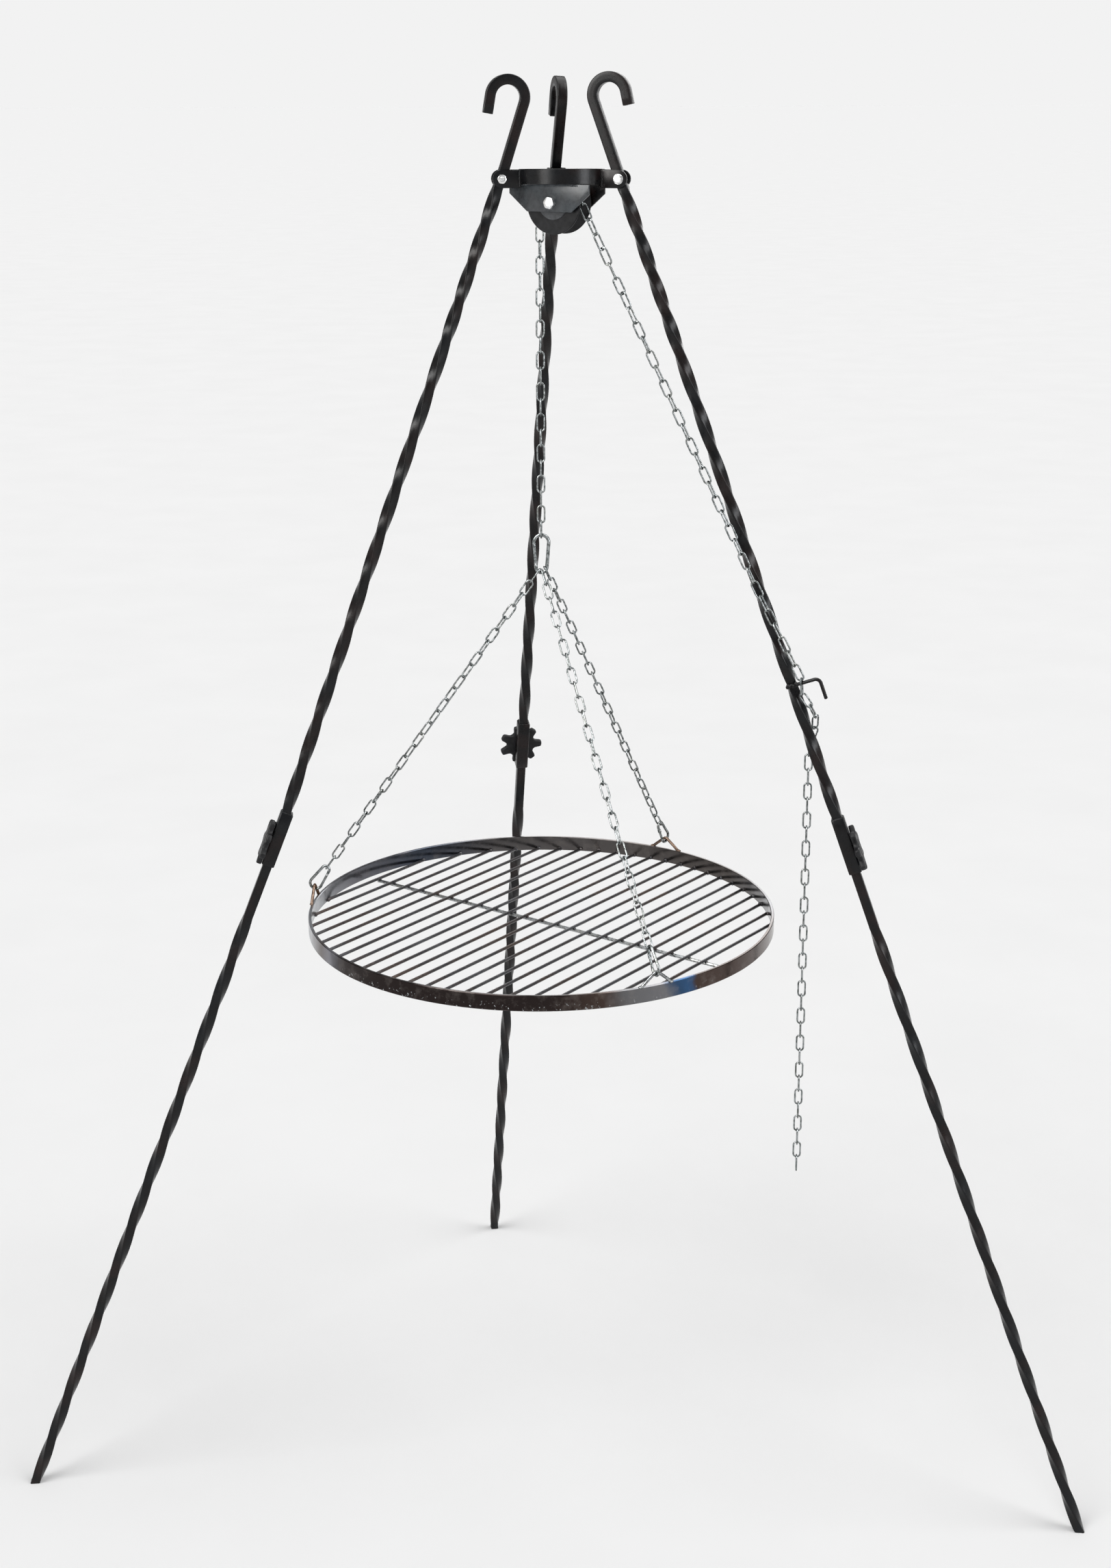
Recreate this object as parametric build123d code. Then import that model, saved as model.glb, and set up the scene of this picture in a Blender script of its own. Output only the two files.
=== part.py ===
from build123d import *
import math
import os

os.makedirs("parts", exist_ok=True)

# Campfire tripod with a hanging round grill grate. Millimetres, +Z up, floor at Z = 0.
# The tripod's own axis (the middle of the head ring) stands at (AXIS_X, AXIS_Y); the
# origin is the middle of the footprint box on the floor.

# ---------------------------------------------------------------- driving dimensions
AXIS_X, AXIS_Y = 22.85, -160.17     # tripod axis, seen from the footprint's middle
HINGE_Z = 1713.0                   # height of the three leg hinges
BAR = 12.0                         # square bar of the legs
SLEEVE_OUT, SLEEVE_BORE, SLEEVE_L = 16.5, 13.0, 73.0
SLEEVE_GRIP = 24.0                 # length of upper rod held in the sleeve
TWIST_TOP = 12.0                   # plain bar below the hinge before the twist
TWIST_A_END, TWIST_A_TURN = 204.0, 360.0   # the first, tighter turn
TWIST_PITCH = 66.0                 # lower rod, length of a quarter turn
LOWER_PLAIN = 111.0                # plain bar of a lower rod below the sleeve's middle

# name: azimuth of the leg (degrees from +Y towards -X), radius of its hinge and foot, how
# far it stands to one side of the axis, sleeve's middle (distance below the hinge along
# the rod), turn of the sleeve about the rod, a slight bend in the rod if there is one,
# height of the top hook's bend, length of its tip and its lean (outwards, sideways)
LEGS = {
    "left": dict(az=98.7, hinge=74.0, foot=730.0, shift=0.0, sleeve=861.0, turn=-3.0, knee=(366.5, 908.0),
                 hook=91.0, tip=22.0, lean=(2.0, 0.0)),
    "right": dict(az=-108.3, hinge=72.5, foot=712.0, shift=0.0, sleeve=853.0, turn=12.0, knee=None,
                  hook=94.0, tip=16.0, lean=(0.0, 0.0)),
    "back": dict(az=11.15, hinge=70.4, foot=627.9, shift=4.9, sleeve=833.0, turn=0.0, knee=None,
                 hook=89.0, tip=24.0, lean=(0.0, 2.1)),
}

TOP_HOOK_R, TOP_HOOK_DEG, TOP_HOOK_BEND = 20.5, 188.0, 13.0   # the lean starts above the ears
KNOB_R, KNOB_T, KNOB_NEAR, KNOB_NOTCH, KNOB_NOTCH_AT = 30.0, 7.0, 8.7, 6.8, 27.0

RING_R, RING_T, RING_H, RING_Z = 52.0, 4.0, 18.0, 1715.0
RING_TILT = 2.0                    # the head leans back a little on uneven legs
EAR_T, EAR_H, EAR_GAP = 3.0, 21.0, 12.6
BOLT_R, BOLT_HOLE_R = 3.0, 3.06

PULLEY_X, PULLEY_Y, PULLEY_Z = -3.94, -13.74, 1686.0
PULLEY_TURN = 31.0                 # pulley plane, right end turned to the front
PULLEY_R, PULLEY_W, PULLEY_HUB_R, PULLEY_BORE_R = 37.0, 27.0, 20.0, 4.06
PLATE_GAP, PLATE_T, PLATE_SHIFT = 33.6, 3.0, -2.4
PLATE_W, PLATE_W2, PLATE_TOP, PLATE_MID, PLATE_LOW = 110.0, 61.0, 1709.0, 1696.0, 1675.5
GROOVE_R = 18.0                    # bottom of the groove
CHAIN_R = 27.0                     # chain's centre line on the pulley

LINK_D, LINK_W, PITCH = 2.2, 11.0, 18.9

HANG_X = -27.0                     # the top snap hook hangs here, a little off the grate's middle
GRATE_X, GRATE_Y, GRATE_TOP = -29.5, 0.0, 789.0
RIM_R, RIM_T, RIM_H = 304.0, 4.0, 20.0
ROD_D, ROD_ANGLE, ROD_FIRST, ROD_STEP, ROD_N = 4.0, 54.0, 282.0, 25.4, 22
CROSS_D = 4.5
HANGERS = {"back": (54.9, 17.0), "front": (-62.3, 18.0), "left": (173.0, 22.0)}   # angle, rise
HANGER_D, HANGER_HALF = 4.0, 21.0

# snap hooks: wire, outer length, outer width, small end radius (centre line)
TOP_SNAP = (4.4, 52.0, 23.0, 6.8)
SMALL_SNAP = (3.6, 40.0, 19.0, 5.0)

HOOK_S, HOOK_SIDE, HOOK_OUT, HOOK_DROP, HOOK_D, HOOK_AT = 639.5, 9.2, 38.0, 27.0, 4.5, 16.0

ORIGIN = Location((AXIS_X, AXIS_Y, 0))
made = {}


def put(name, shapes):
    """Write one node: a list of solids in the tripod-axis frame, shifted to the origin."""
    if not isinstance(shapes, (list, tuple)):
        shapes = [shapes]
    solids = []
    for shape in shapes:
        found = shape.solids() if hasattr(shape, "solids") else [shape]
        solids += [s.moved(ORIGIN) for s in found]
    whole = solids[0] if len(solids) == 1 else Compound(children=solids)
    export_step(whole, f"parts/{name}.step")
    box = Compound(children=[Solid(s.wrapped) for s in solids]).bounding_box() if len(solids) > 1 else solids[0].bounding_box()
    made[name] = box
    print(f"{name}: {len(solids)} solids, volume {sum(s.volume for s in solids):.0f}")


def vec(*a):
    return Vector(*a)


def unit(az):
    a = math.radians(az)
    return vec(-math.sin(a), math.cos(a), 0)


def cyl(p, q, r):
    """Solid cylinder from p to q."""
    p, q = vec(*p), vec(*q)
    d = q - p
    return Solid.make_cylinder(r, d.length, Plane(origin=p, z_dir=d.normalized()))


def frame_of(origin, up, side):
    return Plane(origin=origin, x_dir=side, z_dir=up)


def twist(plane, side, z0, z1, a0, turn, cells=1):
    """Square bar from height z0 (turned a0) to z1, turned left-handed about its own axis."""
    section = Plane(origin=(0, 0, z0)) * (Rot(0, 0, a0) * Rectangle(side, side))
    solid = Solid.extrude_linear_with_rotation(section.face(), (0, 0, z0), (0, 0, z1 - z0), -turn)
    return solid.moved(plane.location)


def block(plane, sx, sy, z0, z1, x=0, y=0, turn=0):
    b = Pos(x, y, (z0 + z1) / 2) * Box(sx, sy, abs(z1 - z0))
    if turn:
        b = Rot(0, 0, turn) * b
    return plane.location * b


# ---------------------------------------------------------------- legs
legs = {}
for name, spec in LEGS.items():
    u = unit(spec["az"])
    side = u.cross(vec(0, 0, 1))
    hinge = u * spec["hinge"] + side * spec["shift"] + vec(0, 0, HINGE_Z)
    foot = u * spec["foot"] + side * spec["shift"]
    knee = u * spec["knee"][0] + vec(0, 0, spec["knee"][1]) if spec["knee"] else None
    up_hi = (hinge - (knee if knee else foot)).normalized()
    hi = frame_of(hinge, up_hi, side)
    if knee:
        up_lo = (knee - foot).normalized()
        # the sleeve and lower rod share one straight line through the knee
        s_knee = (hinge - knee).length
        top = knee + up_lo * s_knee
        lo = frame_of(top, up_lo, side)
    else:
        lo = hi
    legs[name] = dict(u=u, hinge=hinge, foot=foot, side=side, hi=hi, lo=lo, spec=spec,
                      out_hi=hi.y_dir, out_lo=lo.y_dir)
    print(name, "hinge", hinge, "up", up_hi, "lower up", lo.z_dir, "out", lo.y_dir, "side", side)

for name, leg in legs.items():
    spec, hi, lo = leg["spec"], leg["hi"], leg["lo"]
    s_mid, turn = spec["sleeve"], spec["turn"]
    s_top, s_bot = s_mid - SLEEVE_L / 2, s_mid + SLEEVE_L / 2
    # top hook: the same bar runs on above the hinge and curls outwards
    hook_z = spec["hook"] - TOP_HOOK_BEND
    path_a = Line((0, 0, -1.0), (0, 0, hook_z))
    ang = math.radians(TOP_HOOK_DEG)
    mid = (0, TOP_HOOK_R * (1 - math.cos(ang / 2)), hook_z + TOP_HOOK_R * math.sin(ang / 2))
    end = (0, TOP_HOOK_R * (1 - math.cos(ang)), hook_z + TOP_HOOK_R * math.sin(ang))
    path_b = ThreePointArc((0, 0, hook_z), mid, end)
    tip_dir = vec(0, math.sin(ang), math.cos(ang))
    path_c = Line(end, vec(*end) + tip_dir * spec["tip"])
    section = Plane(origin=(0, 0, -1.0)) * Rectangle(BAR, BAR)
    hook = sweep(section, path=Wire([path_a.edge(), path_b.edge(), path_c.edge()]))
    lean = Pos(0, 0, TOP_HOOK_BEND) * Rot(-spec["lean"][0], spec["lean"][1], 0)
    hook = hi.location * (lean * hook.solid())
    hook = hook + block(hi, BAR, BAR, -TWIST_TOP, TOP_HOOK_BEND + 0.5)
    # pivot hole
    hook = hook - hi.location * (Rot(0, 90, 0) * Cylinder(BOLT_HOLE_R, 40))
    # twisted run, then a short plain end inside the sleeve
    end_s = s_top - 0.5
    total = -(900.0) + turn
    tw1 = twist(hi, BAR, -TWIST_TOP, -TWIST_A_END, 0, TWIST_A_TURN)
    tw2 = twist(hi, BAR, -TWIST_A_END, -end_s, 0, 900.0 + turn)
    plug = block(hi, BAR, BAR, -end_s, -(s_top + SLEEVE_GRIP), turn=turn)
    rod = Solid(hook.solid().wrapped) + tw1 + tw2 + plug.solid()
    put(f"{name}_upper_rod", rod.solids())

    # sleeve: square tube, gripping the upper rod, open to the lower rod, with a
    # threaded hole for the star knob in its outer wall
    tube = block(lo, SLEEVE_OUT, SLEEVE_OUT, -s_top, -s_bot, turn=turn)
    bore = block(lo, SLEEVE_BORE, SLEEVE_BORE, -(s_top + SLEEVE_GRIP), -(s_bot + 1), turn=turn)
    grip = block(hi, BAR, BAR, -(s_top - 5), -(s_top + SLEEVE_GRIP), turn=turn)
    hole = lo.location * (Rot(0, 0, turn) * (Pos(0, 10, -(s_mid + 8)) * (Rot(90, 0, 0) * Cylinder(4.06, 20))))
    sleeve = tube - grip - bore - hole
    put(f"{name}_sleeve", sleeve.solid())

    # lower rod: plain in the sleeve, twisted below it, cut level with the ground
    plain_end = s_mid + LOWER_PLAIN
    foot_s = (lo.origin - leg["foot"]).length
    n = 13
    pitch = (foot_s - plain_end) / n
    low_plain = block(lo, BAR, BAR, -(s_top + SLEEVE_GRIP + 1.0), -plain_end, turn=turn)
    low_tw = twist(lo, BAR, -plain_end, -foot_s, turn, 90.0 * n)
    extra = 12.0
    toe = block(lo, BAR, BAR, -foot_s, -(foot_s + extra), turn=turn + 90 * n)
    low = low_plain.solid() + low_tw + toe.solid()
    low = low - Pos(leg["foot"].X, leg["foot"].Y, -30) * Box(90, 90, 60)
    put(f"{name}_lower_rod", low.solids())

    # clamping screw and star knob on the outward side
    kp = Rot(0, 0, turn)
    zc = -(s_mid + 8)
    stud_far = KNOB_NEAR + KNOB_T - 1.5
    stud = lo.location * (kp * (Pos(0, (6.4 + stud_far) / 2, zc) * (Rot(90, 0, 0) * Cylinder(4.0, stud_far - 6.4))))
    put(f"{name}_knob_stud", stud.solid())
    outline = Circle(KNOB_R)
    for i in range(7):
        a = math.radians(360.0 / 7 * (i + 0.5))
        outline -= Pos(KNOB_NOTCH_AT * math.cos(a), KNOB_NOTCH_AT * math.sin(a)) * Circle(KNOB_NOTCH)
    outline = fillet(outline.vertices(), 2.6)
    star = extrude(outline, KNOB_T / 2, both=True)
    # the stud fills a blind socket in the knob's inner face
    socket = KNOB_T - 1.5
    star = star - Pos(0, 0, -KNOB_T / 2 + socket / 2) * Cylinder(4.0, socket)
    star = lo.location * (kp * (Pos(0, KNOB_NEAR + KNOB_T / 2, zc) * (Rot(-90, 0, 0) * star)))
    put(f"{name}_star_knob", star.solid())

# ---------------------------------------------------------------- head ring and ears
tilt = Pos(0, 0, RING_Z) * Rot(-RING_TILT, 0, 0)
ring_outer = tilt * Cylinder(RING_R, RING_H)
ring = ring_outer - tilt * Cylinder(RING_R - RING_T, RING_H + 2)
put("head_ring", ring.solid())
ring_keep_out = tilt * Cylinder(RING_R, 60)

bolts, nuts, all_ears = [], [], []
for name, leg in legs.items():
    hi, u, side = leg["hi"], leg["u"], leg["side"]
    flat = frame_of(leg["hinge"], vec(0, 0, 1), side)      # ears stand upright
    ears = []
    for sgn in (-1, 1):
        x = sgn * (EAR_GAP / 2 + EAR_T / 2)
        tongue = Pos(x, -15, 0) * Box(EAR_T, 30, EAR_H)
        eye = Pos(x, 0, 0) * (Rot(0, 90, 0) * Cylinder(EAR_H / 2, EAR_T))
        ear = tongue + eye - Pos(x, 0, 0) * (Rot(0, 90, 0) * Cylinder(BOLT_R + 0.1, EAR_T + 1))
        ear = flat.location * ear - ring_keep_out
        ears.append(max(ear.solids(), key=lambda s: s.volume))
    put(f"{name}_hinge_ears", ears)
    all_ears += ears
    half = EAR_GAP / 2 + EAR_T
    # bolt: head on the +side (front) face, nut on the other
    shank = Pos(0, 0, 0) * (Rot(0, 90, 0) * Cylinder(BOLT_R, 2 * half + 12))
    head = Pos(half + 6.0 - 4.0 / 2 - 2.0, 0, 0) * (Rot(0, 90, 0) * extrude(RegularPolygon(5.77, 6), 4.0 / 2, both=True))
    bolt = Pos(0, 0, 0) * (Rot(0, 90, 0) * Cylinder(BOLT_R, 2 * half + 8))
    bolt = Pos(-4.0, 0, 0) * bolt + Pos(half + 2.0, 0, 0) * (Rot(0, 90, 0) * extrude(RegularPolygon(5.77, 6), 2.0, both=True))
    bolts.append((flat.location * bolt).solid())
    nut = Pos(-(half + 2.5), 0, 0) * (Rot(0, 90, 0) * extrude(RegularPolygon(5.77, 6), 2.5, both=True))
    nut -= Rot(0, 90, 0) * Cylinder(BOLT_R, 80)
    nuts.append((flat.location * nut).solid())
put("hinge_bolts", bolts)
put("hinge_nuts", nuts)

# ---------------------------------------------------------------- pulley and its plates
psi = math.radians(PULLEY_TURN)
e_dir = vec(math.cos(psi), -math.sin(psi), 0)
n_dir = vec(-math.sin(psi), -math.cos(psi), 0)      # towards the front plate
pc = vec(PULLEY_X, PULLEY_Y, PULLEY_Z)
# local frame: x along the plate, y towards the rear, z up
pf = Plane(origin=pc, x_dir=e_dir, z_dir=(0, 0, 1))
ring_tube = ring_outer - tilt * Cylinder(RING_R - RING_T, RING_H + 2)


def plate(sgn):
    zt, zm, zl = PLATE_TOP - PULLEY_Z, PLATE_MID - PULLEY_Z, PLATE_LOW - PULLEY_Z
    w, w2 = PLATE_W / 2, PLATE_W2 / 2
    y = sgn * (PLATE_GAP / 2 + PLATE_T / 2)
    prof = Plane.XZ * Polygon((-w, zt), (w, zt), (w, zm), (w2, zl), (-w2, zl), (-w, zm), align=None)
    p = extrude(prof, PLATE_T / 2, both=True)
    p = Pos(PLATE_SHIFT, y, 0) * p
    p -= Pos(0, y, 0) * (Rot(90, 0, 0) * Cylinder(4.1, PLATE_T + 1))
    p = pf.location * p
    p = p - ring_tube
    for ear in all_ears:
        p = p - ear
    return max(p.solids(), key=lambda s: s.volume)


put("pulley_plate_front", plate(-1))
put("pulley_plate_rear", plate(1))

# V-grooved wheel with a raised hub face on both sides
half_w = PULLEY_W / 2
wheel_prof = Polygon((PULLEY_BORE_R, -half_w - 1.5), (PULLEY_HUB_R, -half_w - 1.5), (PULLEY_HUB_R, -half_w),
                     (PULLEY_R, -half_w), (PULLEY_R, -half_w + 2.0), (GROOVE_R, -3.2), (GROOVE_R, 3.2),
                     (PULLEY_R, half_w - 2.0), (PULLEY_R, half_w), (PULLEY_HUB_R, half_w),
                     (PULLEY_HUB_R, half_w + 1.5), (PULLEY_BORE_R, half_w + 1.5), align=None)
wheel = revolve(Plane.XZ * wheel_prof, Axis.Z)
wheel = pf.location * (Rot(90, 0, 0) * wheel)
put("pulley_wheel", wheel.solid())

# axle bolt from the front plate to the rear plate, its nut and two spacing washers
hw = PLATE_GAP / 2 + PLATE_T
ax = Rot(90, 0, 0) * Cylinder(4.0, 2 * hw + 9.0)
axle = Pos(0, 4.5, 0) * ax + Pos(0, -(hw + 2.65), 0) * (Rot(90, 0, 0) * extrude(RegularPolygon(7.5, 6), 2.65, both=True))
put("pulley_axle_bolt", (pf.location * axle).solid())
nut = Pos(0, hw + 3.25, 0) * (Rot(90, 0, 0) * (extrude(RegularPolygon(7.5, 6), 3.25, both=True)))
nut -= Rot(90, 0, 0) * Cylinder(4.0, 120)
put("pulley_axle_nut", (pf.location * nut).solid())
wash = []
wt = PLATE_GAP / 2 - half_w - 1.5 - 0.3
for sgn in (-1, 1):
    w = Pos(0, sgn * (PLATE_GAP / 2 - wt / 2), 0) * (Rot(90, 0, 0) * (Cylinder(8.0, wt) - Cylinder(4.2, wt + 1)))
    wash.append((pf.location * w).solid())
put("pulley_washers", wash)

# ---------------------------------------------------------------- chain
def link(pitch):
    """One link in the XZ plane, long along Z, inner length a touch over the pitch."""
    d, w = LINK_D, LINK_W
    inner = pitch + 0.30
    r = (w - d) / 2                       # end bend, centre line
    h = (inner + d) / 2 - r               # half of the straight part
    z_dir = Plane(origin=(r, 0, -h), z_dir=(0, 0, 1))
    wire = Wire([
        Line((r, 0, -h), (r, 0, h)).edge(),
        ThreePointArc((r, 0, h), (0, 0, h + r), (-r, 0, h)).edge(),
        Line((-r, 0, h), (-r, 0, -h)).edge(),
        ThreePointArc((-r, 0, -h), (0, 0, -h - r), (r, 0, -h)).edge(),
    ])
    return sweep(z_dir * Circle(d / 2), path=wire).solid()


def march(points, pitch):
    """Nodes along a route of straight runs, one pitch apart in a straight line."""
    dense = []
    for a, b in zip(points[:-1], points[1:]):
        n = max(1, int((b - a).length / 0.1))
        dense += [a + (b - a) * (i / n) for i in range(n)]
    dense.append(points[-1])
    nodes, i = [dense[0]], 0
    for j in range(1, len(dense)):
        if (dense[j] - nodes[-1]).length >= pitch:
            a, b = dense[j - 1], dense[j]
            da, db = (a - nodes[-1]).length, (b - nodes[-1]).length
            t = (pitch - da) / (db - da) if db > da else 1.0
            nodes.append(a + (b - a) * t)
    return nodes, (dense[-1] - nodes[-1]).length


def fit_march(points, pitch):
    """Adjust the pitch so that the last node falls on the route's end."""
    total = sum((b - a).length for a, b in zip(points[:-1], points[1:]))
    n = round(total / pitch)
    lo_p, hi_p = total / n * 0.94, total / n * 1.01
    for _ in range(40):
        mid_p = (lo_p + hi_p) / 2
        nodes, rest = march(points, mid_p)
        if len(nodes) - 1 >= n and not (len(nodes) - 1 == n and rest < 1e-6):
            lo_p = mid_p
        else:
            hi_p = mid_p
    nodes, rest = march(points, lo_p)
    return nodes[: n + 1], lo_p


def chain(nodes, pitch, rolls, ref):
    """Links between nodes; ref(i, tangent) gives the vector that roll 0 lies along."""
    base = link(pitch)
    out = []
    for i in range(len(nodes) - 1):
        a, b = nodes[i], nodes[i + 1]
        t = (b - a).normalized()
        r0 = ref(i, t)
        r0 = (r0 - t * r0.dot(t)).normalized()
        q = t.cross(r0)
        ang = math.radians(rolls(i))
        x = r0 * math.cos(ang) + q * math.sin(ang)
        pl = Plane(origin=(a + b) * 0.5, x_dir=x, z_dir=t)
        out.append(base.moved(pl.location))
    return out


# snap hook, in its own frame: XZ plane, big end up, gate on the +X side
def snap(spec):
    d, length, width, rs = spec
    rb = (width - d) / 2
    zb = length / 2 - d / 2 - rb           # centre of the big end
    zs = -(length / 2 - d / 2 - rs)        # centre of the small end
    span = zb - zs
    sa = math.asin((rb - rs) / span)       # lean of the two sides
    ca = math.cos(sa)
    # tangent points, right side then left
    br, sr = vec(rb * ca, 0, zb - rb * math.sin(sa) * -1 * -1), vec(rs * ca, 0, zs - rs * math.sin(sa))
    br = vec(rb * ca, 0, zb - rb * math.sin(sa))
    sr = vec(rs * ca, 0, zs - rs * math.sin(sa))
    bl, sl = vec(-br.X, 0, br.Z), vec(-sr.X, 0, sr.Z)
    run = (br - sr)
    t = run.normalized()
    g0, g1 = sr + t * 3.0, br - t * 1.2     # the gate's ends on the right side
    wire = Wire([
        Line(g1, br).edge(),
        ThreePointArc(br, (0, 0, zb + rb), bl).edge(),
        Line(bl, sl).edge(),
        ThreePointArc(sl, (0, 0, zs - rs), sr).edge(),
        Line(sr, g0).edge(),
    ])
    body = sweep(Plane(origin=g1, z_dir=t) * Circle(d / 2), path=wire).solid()
    # flattened tab at the hinge end with a cross hole, and the slotted gate around it
    gp = Plane(origin=g0, x_dir=(0, 1, 0), z_dir=t)      # x across, z up the gate
    pin_z = 2.0
    tab = gp.location * (Pos(0, 0, (pin_z + 1.5 - 0.5) / 2) * Box(1.4, d * 0.8, pin_z + 1.5 + 0.5))
    pin_hole = gp.location * (Pos(0, 0, pin_z) * (Rot(0, 90, 0) * Cylinder(0.75, 12)))
    body = (body + tab.solid() - pin_hole).solid()
    gate_len = (g1 - g0).length
    gr = d * 0.46
    rod = Pos(0, 0, (0.6 + gate_len - 0.35) / 2) * Cylinder(gr, gate_len - 0.35 - 0.6)
    slot = Pos(0, 0, 2.2) * Box(2.0, 10, 5.6)
    gate = gp.location * (rod - slot)
    gate = gate - gp.location * (Pos(0, 0, pin_z) * (Rot(0, 90, 0) * Cylinder(0.8, 12)))
    gate = gate.solids()
    gate = max(gate, key=lambda s: s.volume)
    pin = gp.location * (Pos(0, 0, pin_z) * (Rot(0, 90, 0) * Cylinder(0.72, 2 * gr)))
    return dict(body=body, gate=gate, pin=pin.solid(), rb=rb, rs=rs, zb=zb, zs=zs, d=d,
                hinge=g0 + t * pin_z, axis=vec(0, 1, 0))


def hang(shape, pl):
    return shape.moved(pl.location)


# top snap hook: hangs in the XZ plane under the drop chain
drop_x = PULLEY_X - CHAIN_R * math.cos(psi)
drop_y = PULLEY_Y + CHAIN_R * math.sin(psi)
print("drop chain at", drop_x, drop_y)
top = snap(TOP_SNAP)
TOP_SNAP_TOP = 1285.4
top_c = vec(HANG_X, 0, TOP_SNAP_TOP - TOP_SNAP[1] / 2)
top_pl = Plane(origin=top_c, x_dir=(-1, 0, 0), z_dir=(0, 0, 1))
put("top_snap_hook", hang(top["body"], top_pl))
put("top_snap_gate", hang(top["gate"], top_pl))
put("top_snap_rivet", hang(top["pin"], top_pl))
print("top gate hinge", top_pl.origin + top_pl.x_dir * top["hinge"].X + top_pl.z_dir * top["hinge"].Z, "axis", top_pl.y_dir)

# drop chain: first link stands across the snap hook's wire
wire_top = TOP_SNAP_TOP - TOP_SNAP[0]              # underside of the hook's big end
n_drop = 21
node0 = wire_top - LINK_D - 0.06 + 0.07 + LINK_D   # inner end of link 0 lies under the wire
z_node = wire_top - LINK_D
drop_nodes = [vec(drop_x, drop_y, z_node + 0.0 + PITCH * i) for i in range(n_drop + 1)]
# node 0 is the inner lower end of link 0: it carries the snap hook's wire from below
shift = (wire_top + TOP_SNAP[0] / 2) - (TOP_SNAP[0] / 2 + 0.1) - drop_nodes[0].Z
drop_nodes = [p + vec(0, 0, shift) for p in drop_nodes]


def drop_roll(i):
    return (90 if i % 2 == 0 else 0) - max(0, i - 12) * -14.0 / 8


drop = chain(drop_nodes, PITCH, drop_roll, lambda i, t: vec(1, 0, 0))
put("hoist_chain_drop", drop)

# over the pulley and down to the leg's hook
right = legs["right"]
hk = right["hi"]


def leg_point(leg, x, y, s):
    pl = leg["hi"]
    return pl.origin + pl.x_dir * x + pl.y_dir * y - pl.z_dir * s


hook_node = leg_point(right, HOOK_SIDE, HOOK_AT, HOOK_S - 4.8)
cross = leg_point(right, 16.5, 2.0, 515.0)
flat_run = (cross - pc)
# point where the chain leaves the pulley
fall = math.atan2(vec(flat_run.X, flat_run.Y, 0).length, -flat_run.Z)
arc = []
N_ARC = 60
for i in range(N_ARC + 1):
    a = math.pi - (math.pi - fall) * i / N_ARC
    arc.append(pc + e_dir * (CHAIN_R * math.cos(a)) + vec(0, 0, CHAIN_R * math.sin(a)))
route = [drop_nodes[-1]] + arc + [cross, hook_node]
nodes, p2 = fit_march(route, PITCH)
print("run nodes", len(nodes), "pitch", p2)
n_wrap = 0
for i, p in enumerate(nodes):
    if p.Z < PULLEY_Z - 6 and i > 3:
        n_wrap = i
        break
wrap_nodes, run_nodes = nodes[: n_wrap + 1], nodes[n_wrap:]
print("wrap links", n_wrap, "run links", len(run_nodes) - 1)


def wrap_ref(i, t):
    return n_dir


wrap = chain(wrap_nodes, p2, lambda i: 135 + 90 * (i % 2), wrap_ref)
put("hoist_chain_wrap", wrap)


# near the hook the last link of the run faces the front, so the roll ends at 0 or 90
last_k = len(nodes) - 2
parity = (last_k % 2)


def run_roll(i):
    k = i + n_wrap
    ease = min(1.0, (i + 1) / 8.0)
    want = 0 if (last_k - k) % 2 == 0 else 90      # 0: faces the front
    start = 135 + 90 * (k % 2)
    # nearest equivalent of want to start (links repeat every 180 degrees)
    best = min((want + 180 * m for m in range(-2, 3)), key=lambda w: abs(w - start))
    return start + (best - start) * ease


def run_ref(i, t):
    ease = min(1.0, (i + 1) / 8.0)
    return (n_dir * (1 - ease) + right["u"] * ease)


run = chain(run_nodes, p2, run_roll, run_ref)
put("hoist_chain_run", run)

# hook on the right upper rod: a bent wire welded to the bar's front face
hx, hy, hs = HOOK_SIDE, HOOK_OUT, HOOK_S
R_H = 6.5
a0 = vec(hx, -3.0, -hs)
a1 = vec(hx, hy - R_H, -hs)
am = vec(hx, hy - R_H + R_H * math.sin(math.radians(45)), -hs - R_H + R_H * math.cos(math.radians(45)))
a2 = vec(hx, hy, -hs - R_H)
a3 = vec(hx, hy, -hs - HOOK_DROP)
wire = Wire([Line(a0, a1).edge(), ThreePointArc(a1, am, a2).edge(), Line(a2, a3).edge()])
leg_hook = sweep(Plane(origin=a0, z_dir=(0, 1, 0)) * Circle(HOOK_D / 2), path=wire).solid()
# weld bead that joins the wire to the bar
bead = Pos(hx - 1.2, 0, -hs) * Sphere(4.2)
leg_hook = leg_hook.moved(hk.location)
bead = hk.location * bead
joined = (leg_hook + bead)
cut = block(hk, 17.2, 17.2, -hs + 14, -hs - 14)
# the bead stops at the turned bar's corner circle
joined = joined - hk.location * (Pos(0, 0, -hs) * Cylinder(BAR * math.sqrt(2) / 2, 40))
put("chain_hook", max(joined.solids(), key=lambda s: s.volume))

# spare chain hanging from the hook, round the outside of the leg and down behind it
def leg_cyl(r, t, z):
    return right["u"] * r + right["side"] * t + vec(0, 0, z)


TAIL_R, TAIL_T, TAIL_END = 316.0, -17.0, 446.0
tail_route = [hook_node, leg_point(right, 9.0, 9.8, 656.0), leg_point(right, 4.0, 14.2, 671.0),
              leg_point(right, -6.0, 13.8, 686.0), leg_point(right, -14.0, 7.5, 700.0),
              leg_point(right, -17.0, -4.5, 713.0), leg_cyl(TAIL_R, TAIL_T, 1028.0), leg_cyl(TAIL_R, TAIL_T, TAIL_END)]
tail_nodes, rest = march(tail_route, PITCH)
print("tail links", len(tail_nodes) - 1, "hook node", hook_node, "tail at", tail_route[-1])


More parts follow.
